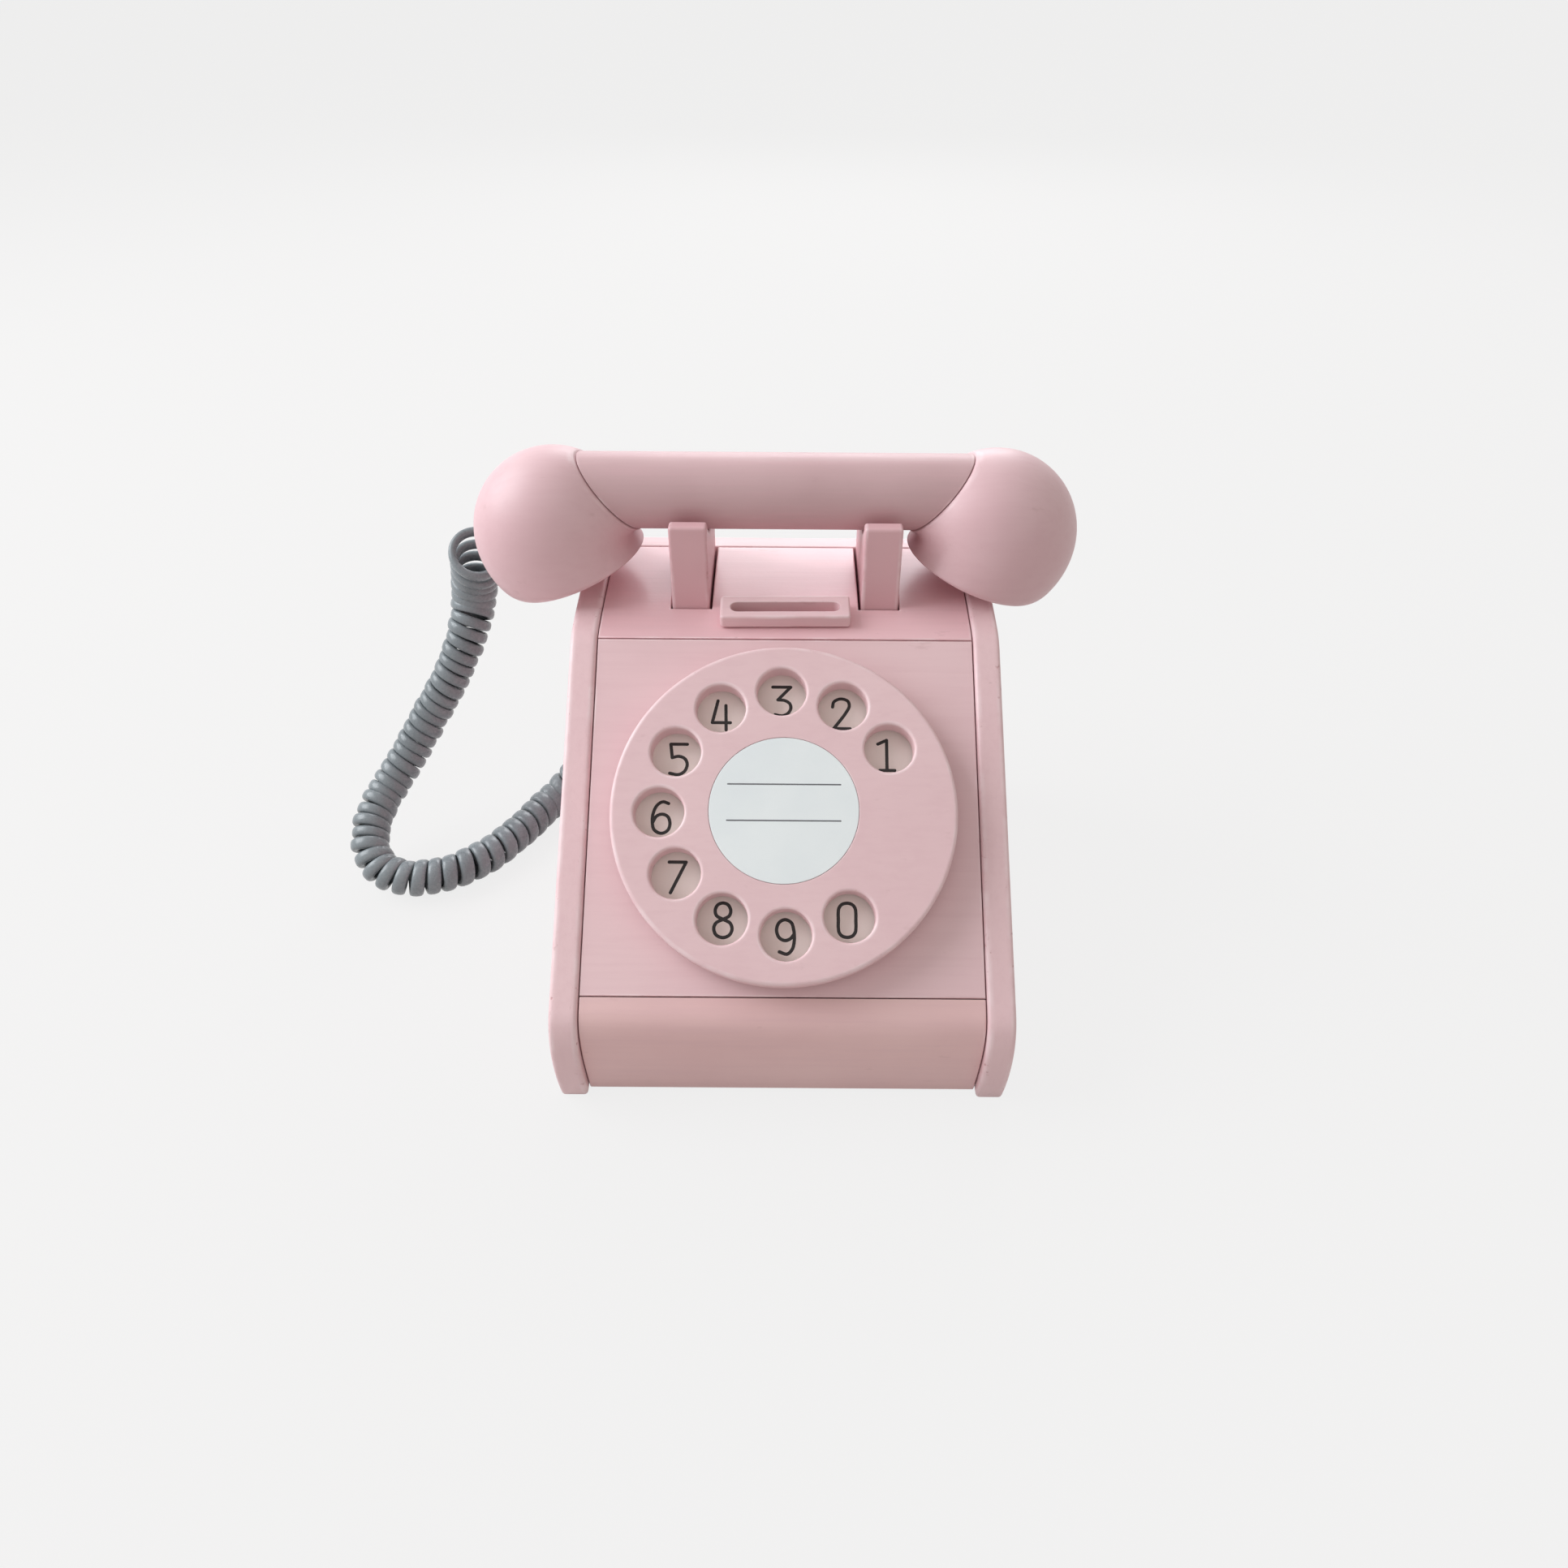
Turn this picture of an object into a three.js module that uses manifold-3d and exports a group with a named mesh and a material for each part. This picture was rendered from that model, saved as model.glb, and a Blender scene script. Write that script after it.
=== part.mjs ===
// Toy desk telephone in painted wood: a case of glued boards with a sloped front, a ten-hole
// dial that turns on a bolt, two sprung forks, and a mitred handset on a curly cord.
//
// Millimetres, +Z up, +X to the right of someone who dials, +Y towards the back.
// The origin is the centre of the underside of the case. Inside the case group, y is the
// depth measured from the bottom front edge, so the case section is drawn as (depth, height).

import * as THREE from 'three';
import { mergeVertices } from 'three/addons/utils/BufferGeometryUtils.js';
import Module from 'manifold-3d';

const wasm = await Module();
wasm.setup();

// ---------------------------------------------------------------- driving dimensions

const SEAM = 0.3;                                  // gap between pieces that are glued or seated

// case
const CASE_DEPTH = 148;
const INNER_WIDTH = 110.6;                         // between the side boards
const SIDE_BOARD = 7.8;                            // thickness of a side board
const PROUD = 0.7;                                 // side boards stand proud of the front and top
const PANEL = 8;                                   // thickness of the sloped panel
const PANEL_WIDTH = INNER_WIDTH - 2 * SEAM;
const SLOPE = THREE.MathUtils.degToRad(36.8);
const FACE_OFFSET = 25.7;                          // plane of the sloped face from the front edge
const FACE_START = 25.5;                           // seams of the sloped panel, along the slope
const FACE_END = 129.5;
const CROWN = { height: 102.6, depth: 130, flatness: 430 };
const TOP_UNDERSIDE = 92;
const TOP_FLAT = 91.5;                             // depth at which the top panel's crown starts
const BACK_FRONT = 139.7;                          // front face of the back panel
const BACK_REAR = 147.4;
const FLOOR_BOARD = { thickness: 7, front: 10.2 };
const BOARD_EDGE = 1.2;                            // rounding of the side boards
const BROW = { top: 126.5, turn: [88.7, 99.3], crown: 93 };  // where the slope turns into the top
const BACK_CORNER = { reach: 6, height: 102.8, drop: 97 };
const PANEL_EDGE = 0.4;                            // rounding of the panels at their seams
const BLOCK = { half: 7, height: 18 };             // glue blocks in the corners of the floor
const BLOCKS = [
  { name: 'glue_block_front_left', x: -47, depth: 19 },
  { name: 'glue_block_front_right', x: 47, depth: 19 },
  { name: 'glue_block_rear_left', x: -33, depth: 132.2 },
  { name: 'glue_block_rear_right', x: 33, depth: 132.2 },
];
const SCREW = { head: 3.6, shank: 1.7, sunk: 0.4, cone: 2.4, length: 21 };

// card holder, on the crown
const HOLDER = { width: 38.6, length: 10.4, height: 4.1, middle: 97.55, corner: 1, edge: 0.7 };
const HOLDER_TURN = THREE.MathUtils.degToRad(0.8); // glued on a little out of square
const CARD_SLOT = { width: 32.6, gap: 4.85, corner: 2.4, forward: 0.37, pocket: 4 };

// dial, on the sloped face
const DIAL_ALONG = 75.65;                          // its centre, up the slope
const DIAL_RADIUS = 47.9;
const DIAL_BACK = 2.6;                             // heights off the sloped face
const DIAL_FACE = 9.1;
const DIAL_EDGE = 1;
const FINGER_RING = 34.35;
const FINGER_HOLE = 7;
const FINGER_HOLES = 10;
const RING_TURN = THREE.MathUtils.degToRad(1.4);
const PLATE_RADIUS = 44;                           // number plate under the dial
const PLATE_FACE = 1.3;
const LABEL_RADIUS = 20.65;
const LABEL_THICKNESS = 0.4;
const LABEL_ROOM = 0.35;                           // between the label and its recess
const AXLE = 3;                                    // radius of the axle bolt
const AXLE_BORE = AXLE + SEAM;
const AXLE_END = -21.5;
const HEAD = { radius: 6, low: 5.1, high: 8.1, edge: 0.6 };
const BUSH = { radius: 5, flange: 7, end: -9 };
const WASHER = { thrust: 8, back: 7, thickness: 1 };
const NUT = { corner: 5.77, height: 5 };
const CLICK_RADIUS = 15;
const CLICK_TEETH = 20;
const CLICK_DEPTH = 1.2;
const CLICK_THICKNESS = 4;
const REED = { low: DIAL_ALONG + CLICK_RADIUS + 0.4, thickness: 0.8, rise: 1.2, left: -37, right: 2 };
const REED_BLOCK = { left: -40, right: -26, below: 7, above: 8, height: 8.5 };

// cradle
const FORK = { x: 28.5, width: 11.2, front: 102, rear: 139, top: 126.75, lip: 4, foot: 72.3,
  shoulder: 3.5 };
const FORK_EDGE = 0.8;
const FORK_TIP = 1.2;                              // rounding of the fork's two tips in section
const FORK_SLOT = { inward: 0.2, side: 0.6, front: 0.4 };
const CRADLE_TRAVEL = 4;
const CROSS_BAR = { length: 68.4, front: 113, rear: 129, top: 72, height: 10, edge: 0.6 };
const SHELF = { front: 108, top: 46, thickness: 8 };
const PIN = { x: 14, radius: 2.5, top: 80, depth: 121, sunk: 5, tip: 1.5, play: 0.4 };
const SPRING = { radius: 4.1, wire: 0.5, turns: 5, clear: 0.6 };

// handset
const BAR_RADIUS = 11.2;
const BAR_SIDES = 36;
const BAR_DEPTH = 121.1;                           // depth and height of its axis at rest
const BAR_HEIGHT = 129.9;
const HANDSET_SHIFT = -3.2;                        // it lies a little to the left on the forks
const MITRE = { half: 49.9, lean: 0.7975 };        // x of the mitre at height z: half + lean * z
const DOWEL = { radius: 3, length: 26 };

// A cup is swept about a line below the mitre: its section turns from the mitre plane down to
// the flat ear plane, and swells from the bar's oval to a round rim on the way.
const CUP = {
  pivot: 19.7,                                     // pivot line below the bar axis, in the mitre
  earTilt: THREE.MathUtils.degToRad(20.5),         // ear face leans outward and down
  centre: [19.7, 30.9, 31.5, 25.6],                // Bezier values from the mitre to the ear
  height: [14.9, 23.3, 28, 22.7],
  width: [11.8, 23.5, 24, 22.7],
  rimStart: 0.93,
  rimRound: 1.6,
  steps: [0, 0.06, 0.13, 0.2, 0.28, 0.36, 0.45, 0.54, 0.63, 0.72, 0.8, 0.87, 0.93, 0.965, 0.985, 1],
  sides: 28,
};

// cord
const COIL_RADIUS = 6.5;
const COIL_SIDES = 8;
const CORD_STEPS = 44;
const CORD_BORE = 2.3;                             // in both glands
const CASE_GLAND = { depth: 134, height: 16, radius: 6, sleeve: 4.6, inside: 10, lip: 1.6, stand: 3.4,
  tip: 3.6 };
const HANDSET_GLAND = { seat: [-87, 138, 112], out: [-0.66, 0.74, -0.14], radius: 4.5, sleeve: 3,
  inside: 7.5, lip: 3, stand: 7, tip: 3.4 };

// Middle of the coil, as (x, depth, height): out behind the left cup, over in an arch, down to
// the table in a long sag, round on the table, and up to the gland at the foot of the left board.
const CORD_ROUTE = [
  [-92.4, 144.1, 110.8],
  [-96.6, 148.2, 109.8],
  [-100.6, 147.6, 105.2],
  [-102.8, 144.2, 99.3],
  [-103.9, 142.4, 93.5],
  [-104.7, 142, 88.3],
  [-105.4, 142, 83.3],
  [-106.1, 141.2, 79.7],
  [-106.8, 139.2, 76.2],
  [-109, 136.2, 69.6],
  [-115.6, 130.8, 56.3],
  [-124.2, 126, 43.2],
  [-131.8, 119.2, 31.6],
  [-138.6, 110.6, 23],
  [-141.4, 103, 19],
  [-141.8, 95.8, 15.6],
  [-140.6, 90, 12.4],
  [-137.6, 86, 10],
  [-133.4, 83.5, 8.2],
  [-128.2, 82.6, 7.2],
  [-122.2, 83.2, 6.6],
  [-115, 85.7, 6.5],
  [-107.5, 90.4, 6.5],
  [-100.9, 97.7, 6.5],
  [-95.1, 106.2, 6.5],
  [-90.2, 116, 6.5],
  [-86, 123.8, 6.7],
  [-82.4, 128.4, 8.4],
  [-78.8, 131.4, 11.8],
  [-73.6, 133.5, 15.2],
  [-67.6, 134, 16],
];

// ---------------------------------------------------------------- finishes

const PINK_PAINT = { color: 0xe8c6c9, roughness: 0.55, metalness: 0 };
const BARE_WOOD = { color: 0xd9c09a, roughness: 0.75, metalness: 0 };
const PALE_CARD = { color: 0xd8ccc6, roughness: 0.8, metalness: 0 };
const LABEL_PAPER = { color: 0xe4eaec, roughness: 0.7, metalness: 0 };
const STEEL = { color: 0x9a9da0, roughness: 0.35, metalness: 1 };
const NYLON = { color: 0xe9e6dc, roughness: 0.45, metalness: 0 };
const GREY_RUBBER = { color: 0x777d82, roughness: 0.5, metalness: 0 };
const GREY_CORD = { color: 0x8b9197, roughness: 0.35, metalness: 0 };

// ---------------------------------------------------------------- groups

const phone = new THREE.Group();
const body = new THREE.Group();                    // y is depth from the bottom front edge
body.position.y = -CASE_DEPTH / 2;
phone.add(body);

const sloped = new THREE.Group();                  // y up the slope, z off its face
sloped.rotation.x = SLOPE;
sloped.position.set(0, ...faceAt(0).toArray());
body.add(sloped);

const handset = new THREE.Group();                 // on the axis of the grip bar
handset.position.set(HANDSET_SHIFT, BAR_DEPTH, BAR_HEIGHT);
body.add(handset);

function piece(name, geometry, finish, parent = body) {
  const mesh = new THREE.Mesh(geometry, new THREE.MeshStandardMaterial(finish));
  mesh.name = name;
  parent.add(mesh);
  return mesh;
}

// Does one thing for the left side (-1) and the right side (+1).
function bothSides(make) {
  make('left', -1);
  make('right', 1);
}

// ---------------------------------------------------------------- solids and sections

function solid(geometry) {
  const bare = geometry.clone();
  bare.deleteAttribute('normal');
  bare.deleteAttribute('uv');
  const merged = mergeVertices(bare, 1e-4);
  return new wasm.Manifold(new wasm.Mesh({
    numProp: 3,
    vertProperties: merged.attributes.position.array,
    triVerts: Uint32Array.from(merged.index.array),
  }));
}

function cut(geometry, ...tools) {
  let rest = solid(geometry);
  for (const tool of tools) rest = rest.subtract(solid(tool));
  const mesh = rest.getMesh();
  const result = new THREE.BufferGeometry();
  result.setAttribute('position', new THREE.BufferAttribute(mesh.vertProperties, 3));
  result.setIndex(new THREE.BufferAttribute(mesh.triVerts, 1));
  return result;
}

// A shape pushed up from z = 0 to the height, with its rims rounded by the edge.
function raised(shape, height, edge, curveSegments = 12) {
  return new THREE.ExtrudeGeometry(shape, {
    depth: height - 2 * edge,
    curveSegments,
    bevelEnabled: edge > 0,
    bevelThickness: edge,
    bevelSize: edge,
    bevelOffset: -edge,
    bevelSegments: 2,
  }).translate(0, 0, edge);
}

// A (depth, height) section carried along X, about the middle x.
function across(shape, width, middle, edge, curveSegments = 8) {
  const alongX = new THREE.Matrix4().makeBasis(
    new THREE.Vector3(0, 1, 0), new THREE.Vector3(0, 0, 1), new THREE.Vector3(1, 0, 0));
  return raised(shape, width, edge, curveSegments)
    .translate(0, 0, -width / 2)
    .applyMatrix4(alongX)
    .translate(middle, 0, 0);
}

function rectangle(x0, y0, x1, y1, corner = 0) {
  const shape = new THREE.Shape();
  if (corner === 0) {
    return shape.moveTo(x0, y0).lineTo(x1, y0).lineTo(x1, y1).lineTo(x0, y1).closePath();
  }
  shape.absarc(x1 - corner, y0 + corner, corner, -Math.PI / 2, 0);
  shape.absarc(x1 - corner, y1 - corner, corner, 0, Math.PI / 2);
  shape.absarc(x0 + corner, y1 - corner, corner, Math.PI / 2, Math.PI);
  shape.absarc(x0 + corner, y0 + corner, corner, Math.PI, 1.5 * Math.PI);
  return shape.closePath();
}

function circle(x, y, radius) {
  const path = new THREE.Path();
  path.absarc(x, y, radius, 0, 2 * Math.PI);
  return path;
}

// A profile of [radius, z] points turned about Z.
function turned(profile, sides = 18) {
  return new THREE.LatheGeometry(profile.map(([r, z]) => new THREE.Vector2(r, z)), sides)
    .rotateX(Math.PI / 2);
}

function ring(inner, outer, z0, z1, sides = 20) {
  return turned([[inner, z0], [outer, z0], [outer, z1], [inner, z1], [inner, z0]], sides);
}

function rod(radius, z0, z1, sides = 18) {
  return turned([[0, z0], [radius, z0], [radius, z1], [0, z1]], sides);
}

// A point of the case section: a distance up the slope, and out of its face.
function faceAt(along, out = 0) {
  return new THREE.Vector2(Math.cos(SLOPE), Math.sin(SLOPE)).multiplyScalar(along)
    .add(new THREE.Vector2(-Math.sin(SLOPE), Math.cos(SLOPE)).multiplyScalar(FACE_OFFSET + out));
}

// The top of the case is very slightly crowned: a parabola in the depth.
function crownHeight(depth, out = 0) {
  return CROWN.height + out - (CROWN.depth - depth) ** 2 / CROWN.flatness;
}

function crownSlope(depth) {
  return 2 * (CROWN.depth - depth) / CROWN.flatness;
}

function crownTo(shape, from, to, out) {
  const middle = (from + to) / 2;
  const control = crownHeight(from, out) + crownSlope(from) * (middle - from);
  shape.quadraticCurveTo(middle, control, to, crownHeight(to, out));
}

// ---------------------------------------------------------------- case boards

// The side boards carry the outline: a belly at the foot, a straight slope and the crown.
function sideOutline() {
  const knee = faceAt(21.3, PROUD);
  const kneeIn = faceAt(16.3, PROUD);
  const brow = faceAt(BROW.top, PROUD);
  const outline = new THREE.Shape();
  outline.moveTo(0, 0);
  outline.bezierCurveTo(-1.6, 4.5, -3.7, 12, -3.9, 19.5);
  outline.bezierCurveTo(-4.1, 25.5, kneeIn.x, kneeIn.y, knee.x, knee.y);
  outline.lineTo(brow.x, brow.y);
  outline.quadraticCurveTo(...BROW.turn, BROW.crown, crownHeight(BROW.crown, PROUD));
  crownTo(outline, BROW.crown, CASE_DEPTH - BACK_CORNER.reach, PROUD);
  outline.quadraticCurveTo(CASE_DEPTH, BACK_CORNER.height, CASE_DEPTH, BACK_CORNER.drop);
  outline.lineTo(CASE_DEPTH, 0);
  return outline.closePath();
}

bothSides((side, sign) => {
  const middle = sign * (INNER_WIDTH + SIDE_BOARD) / 2;
  const board = across(sideOutline(), SIDE_BOARD, middle, BOARD_EDGE);
  if (side === 'right') {
    piece('side_panel_right', board, PINK_PAINT);
    return;
  }
  const glandHole = rod(CASE_GLAND.sleeve + SEAM, -SIDE_BOARD, SIDE_BOARD).rotateY(Math.PI / 2)
    .translate(middle, CASE_GLAND.depth, CASE_GLAND.height);
  piece('side_panel_left', cut(board, glandHole), PINK_PAINT);
});

// Curved board at the foot of the front, bellied like the side boards.
function lowerFrontSection() {
  const kneeIn = faceAt(17.9);
  const knee = faceAt(22.4);
  const seam = faceAt(FACE_START - SEAM / 2);
  const seamBack = faceAt(FACE_START - SEAM / 2, -9);
  const section = new THREE.Shape();
  section.moveTo(1.9, 1);
  section.bezierCurveTo(0.6, 8, -1.7, 16, -1.7, 23.8);
  section.bezierCurveTo(-1.7, 28.5, kneeIn.x, kneeIn.y, knee.x, knee.y);
  section.lineTo(seam.x, seam.y);
  section.lineTo(seamBack.x, seamBack.y);
  section.lineTo(9.6, 1);
  return section.closePath();
}

piece('lower_front_panel', across(lowerFrontSection(), PANEL_WIDTH, 0, PANEL_EDGE), PINK_PAINT);

const facePanel = rectangle(-PANEL_WIDTH / 2, FACE_START + SEAM / 2,
  PANEL_WIDTH / 2, FACE_END - SEAM / 2);
facePanel.holes.push(circle(0, DIAL_ALONG, BUSH.radius + SEAM));
piece('front_panel', raised(facePanel, PANEL, PANEL_EDGE).translate(0, 0, -PANEL),
  PINK_PAINT, sloped);

// Crowned top board, notched from its back edge for the two forks.
function topSection() {
  const front = faceAt(FACE_END + SEAM / 2);
  const frontLow = faceAt(FACE_END + SEAM / 2, -7.8);
  const rear = BACK_FRONT - SEAM;
  const section = new THREE.Shape();
  section.moveTo(front.x, front.y);
  section.lineTo(TOP_FLAT, crownHeight(TOP_FLAT));
  crownTo(section, TOP_FLAT, rear, 0);
  section.lineTo(rear, TOP_UNDERSIDE);
  section.lineTo(frontLow.x, TOP_UNDERSIDE);
  return section.closePath();
}

function cardSlot(z0, z1) {
  const middle = -CARD_SLOT.forward;
  const outline = rectangle(-CARD_SLOT.width / 2, middle - CARD_SLOT.gap / 2,
    CARD_SLOT.width / 2, middle + CARD_SLOT.gap / 2, CARD_SLOT.corner);
  return { outline, tool: raised(outline, z1 - z0, 0, 3).translate(0, 0, z0) };
}

const holderFrame = new THREE.Group();             // on the top board, tilted with its crown
holderFrame.position.set(0, HOLDER.middle, crownHeight(HOLDER.middle));
holderFrame.rotation.set(Math.atan(crownSlope(HOLDER.middle)), 0, HOLDER_TURN);
body.add(holderFrame);
holderFrame.updateMatrix();

const forkSlots = [-1, 1].map((sign) => {
  const middle = sign * (FORK.x - FORK_SLOT.inward);
  const reach = FORK.width / 2 + FORK_SLOT.side;
  const notch = rectangle(middle - reach, FORK.front - FORK_SLOT.front, middle + reach, BACK_REAR);
  return raised(notch, CASE_DEPTH, 0);
});
const cardPocket = cardSlot(-CARD_SLOT.pocket, 10).tool.applyMatrix4(holderFrame.matrix);
piece('top_panel', cut(across(topSection(), PANEL_WIDTH, 0, PANEL_EDGE), ...forkSlots, cardPocket),
  PINK_PAINT);

const holderBlock = rectangle(-HOLDER.width / 2, -HOLDER.length / 2,
  HOLDER.width / 2, HOLDER.length / 2, HOLDER.corner);
holderBlock.holes.push(cardSlot(0, 1).outline);
piece('card_holder', raised(holderBlock, HOLDER.height, HOLDER.edge, 3).translate(0, 0, SEAM),
  PINK_PAINT, holderFrame);

piece('back_panel', across(rectangle(BACK_FRONT, 0.6, BACK_REAR, crownHeight(BACK_REAR)),
  PANEL_WIDTH, 0, 0.6), PINK_PAINT);

// ---------------------------------------------------------------- floor, glue blocks, screws

// Countersunk screw with its head down, and the hole that clears it, open below.
const { head, shank, sunk, cone, length: screwLength } = SCREW;
const screw = turned([[0, sunk], [head, sunk], [shank, sunk + cone], [shank, screwLength - 2],
  [0, screwLength]], 12);
const screwHole = turned([[0, -1], [head + SEAM, -1], [head + SEAM, sunk], [shank + SEAM, sunk + cone],
  [shank + SEAM, screwLength], [0, screwLength + SEAM]], 12);

const floorBoard = raised(rectangle(-PANEL_WIDTH / 2, FLOOR_BOARD.front,
  PANEL_WIDTH / 2, BACK_FRONT - SEAM), FLOOR_BOARD.thickness, 0);
const screwHoles = BLOCKS.map(({ x, depth }) => screwHole.clone().translate(x, depth, 0));
piece('bottom_board', cut(floorBoard, ...screwHoles), PINK_PAINT);

BLOCKS.forEach(({ name, x, depth }, i) => {
  const low = FLOOR_BOARD.thickness + SEAM;
  const square = rectangle(x - BLOCK.half, depth - BLOCK.half, x + BLOCK.half, depth + BLOCK.half);
  piece(name, cut(raised(square, BLOCK.height, 0).translate(0, 0, low), screwHoles[i]), BARE_WOOD);
  piece(name.replace('glue_block', 'floor_screw'), screw.clone().translate(x, depth, 0), STEEL);
});

// ---------------------------------------------------------------- dial and its bearing

piece('axle_bush', turned([[AXLE_BORE, BUSH.end], [BUSH.radius, BUSH.end], [BUSH.radius, SEAM],
  [BUSH.flange, SEAM], [BUSH.flange, PLATE_FACE], [AXLE_BORE, PLATE_FACE], [AXLE_BORE, BUSH.end]], 20)
  .translate(0, DIAL_ALONG, 0), NYLON, sloped);

piece('number_plate', ring(BUSH.flange + SEAM, PLATE_RADIUS, SEAM, PLATE_FACE, 48)
  .translate(0, DIAL_ALONG, 0), PALE_CARD, sloped);

const dial = new THREE.Group();                    // turns about its own z
dial.position.set(0, DIAL_ALONG, 0);
sloped.add(dial);

// Finger holes run from 1 at upper right, anticlockwise to 0 at lower right.
function fingerHoleAt(index) {
  const angle = RING_TURN + (index + 1) * Math.PI / 6;
  return new THREE.Vector2(Math.cos(angle), Math.sin(angle)).multiplyScalar(FINGER_RING);
}

function polygonPath(Kind, x, y, radius, sides) {
  const corners = Array.from({ length: sides }, (_, i) => {
    const angle = 2 * Math.PI * i / sides;
    return new THREE.Vector2(x + radius * Math.cos(angle), y + radius * Math.sin(angle));
  });
  return new Kind(corners);
}

const dialOutline = polygonPath(THREE.Shape, 0, 0, DIAL_RADIUS, 72);
for (let i = 0; i < FINGER_HOLES; i++) {
  const { x, y } = fingerHoleAt(i);
  dialOutline.holes.push(polygonPath(THREE.Path, x, y, FINGER_HOLE, 16));
}
const labelFloor = DIAL_FACE - LABEL_THICKNESS - SEAM;
const labelRecess = rod(LABEL_RADIUS + LABEL_ROOM, labelFloor, 2 * DIAL_FACE, 48);
const headRecess = rod(HEAD.radius + 2 * SEAM, HEAD.low - SEAM, 2 * DIAL_FACE);
piece('dial_plate', cut(
  raised(dialOutline, DIAL_FACE - DIAL_BACK, DIAL_EDGE).translate(0, 0, DIAL_BACK),
  labelRecess, headRecess, rod(AXLE_BORE, 0, DIAL_FACE)), PINK_PAINT, dial);

piece('dial_label', rod(LABEL_RADIUS, DIAL_FACE - LABEL_THICKNESS, DIAL_FACE, 48),
  LABEL_PAPER, dial);
piece('thrust_washer', ring(AXLE_BORE, WASHER.thrust, PLATE_FACE + SEAM, DIAL_BACK - SEAM),
  NYLON, dial);
piece('axle_bolt', turned([[0, AXLE_END], [AXLE - HEAD.edge, AXLE_END], [AXLE, AXLE_END + HEAD.edge],
  [AXLE, HEAD.low], [HEAD.radius, HEAD.low], [HEAD.radius, HEAD.high - HEAD.edge],
  [HEAD.radius - HEAD.edge, HEAD.high], [0, HEAD.high]]), STEEL, dial);

// Click wheel: rounded teeth, one wave of the radius for each tooth.
const clickWaves = Array.from({ length: CLICK_TEETH * 4 }, (_, i) => {
  const angle = 2 * Math.PI * i / (CLICK_TEETH * 4);
  const radius = CLICK_RADIUS - CLICK_DEPTH / 2 * (1 - Math.cos(CLICK_TEETH * angle));
  return new THREE.Vector2(Math.cos(angle), Math.sin(angle)).multiplyScalar(radius);
});
const clickOutline = new THREE.Shape(clickWaves);
clickOutline.holes.push(circle(0, 0, AXLE_BORE));
const CLICK_BACK = BUSH.end - SEAM - CLICK_THICKNESS;
piece('click_wheel', raised(clickOutline, CLICK_THICKNESS, 0).translate(0, 0, CLICK_BACK),
  NYLON, dial);
const washerBack = CLICK_BACK - SEAM - WASHER.thickness;
piece('back_washer', ring(AXLE_BORE, WASHER.back, washerBack, CLICK_BACK - SEAM), STEEL, dial);

const nutOutline = polygonPath(THREE.Shape, 0, 0, NUT.corner, 6);
nutOutline.holes.push(circle(0, 0, AXLE_BORE));
piece('lock_nut', raised(nutOutline, NUT.height, 0)
  .translate(0, 0, washerBack - SEAM - NUT.height), STEEL, dial);

// Spring strip that ticks on the wheel, held in the saw cut of a block behind the panel.
const reedHigh = REED.low + REED.thickness;
const reedShape = new THREE.Shape();
reedShape.moveTo(REED.left, REED.low);
reedShape.lineTo(REED.right - 6, REED.low);
reedShape.quadraticCurveTo(REED.right - 3, REED.low, REED.right, REED.low + REED.rise);
reedShape.lineTo(REED.right, reedHigh + REED.rise);
reedShape.quadraticCurveTo(REED.right - 3, reedHigh, REED.right - 6, reedHigh);
reedShape.lineTo(REED.left, reedHigh);
reedShape.closePath();
piece('click_reed', raised(reedShape, CLICK_THICKNESS, 0).translate(0, 0, CLICK_BACK),
  STEEL, sloped);

const sawCut = raised(rectangle(REED.left - SEAM, REED.low - SEAM, 0, reedHigh + SEAM), CASE_DEPTH, 0)
  .translate(0, 0, -CASE_DEPTH);
const reedBlock = raised(rectangle(REED_BLOCK.left, REED.low - REED_BLOCK.below,
  REED_BLOCK.right, REED.low + REED_BLOCK.above), REED_BLOCK.height, 0)
  .translate(0, 0, -PANEL - SEAM - REED_BLOCK.height);
piece('reed_block', cut(reedBlock, sawCut), BARE_WOOD, sloped);

// ---------------------------------------------------------------- forks on their springs

// Fork plate in section: a round seat, wider than the bar that rests at the bottom of it, and a
// shoulder that stops under the top.
function forkOutline() {
  const { front, rear, top, lip, foot } = FORK;
  const seatLow = BAR_HEIGHT - BAR_RADIUS - SEAM;
  const seatDepth = top - seatLow;
  const seatHalf = BAR_DEPTH - front - lip;
  const seat = (seatHalf ** 2 + seatDepth ** 2) / (2 * seatDepth);
  const dip = Math.asin((seat - seatDepth) / seat);
  const shoulder = TOP_UNDERSIDE - CRADLE_TRAVEL - SEAM;
  const outline = new THREE.Shape();
  outline.moveTo(front - FORK.shoulder, foot);
  outline.lineTo(rear, foot);
  outline.lineTo(rear, top - FORK_TIP);
  outline.quadraticCurveTo(rear, top, rear - FORK_TIP, top);
  outline.absarc(BAR_DEPTH, seatLow + seat, seat, -dip, -Math.PI + dip, true);
  outline.lineTo(front + FORK_TIP, top);
  outline.quadraticCurveTo(front, top, front, top - FORK_TIP);
  outline.lineTo(front, shoulder);
  outline.lineTo(front - FORK.shoulder, shoulder);
  return outline.closePath();
}

bothSides((side, sign) => {
  piece(`fork_${side}`, across(forkOutline(), FORK.width, sign * FORK.x, FORK_EDGE), PINK_PAINT);
});

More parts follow.
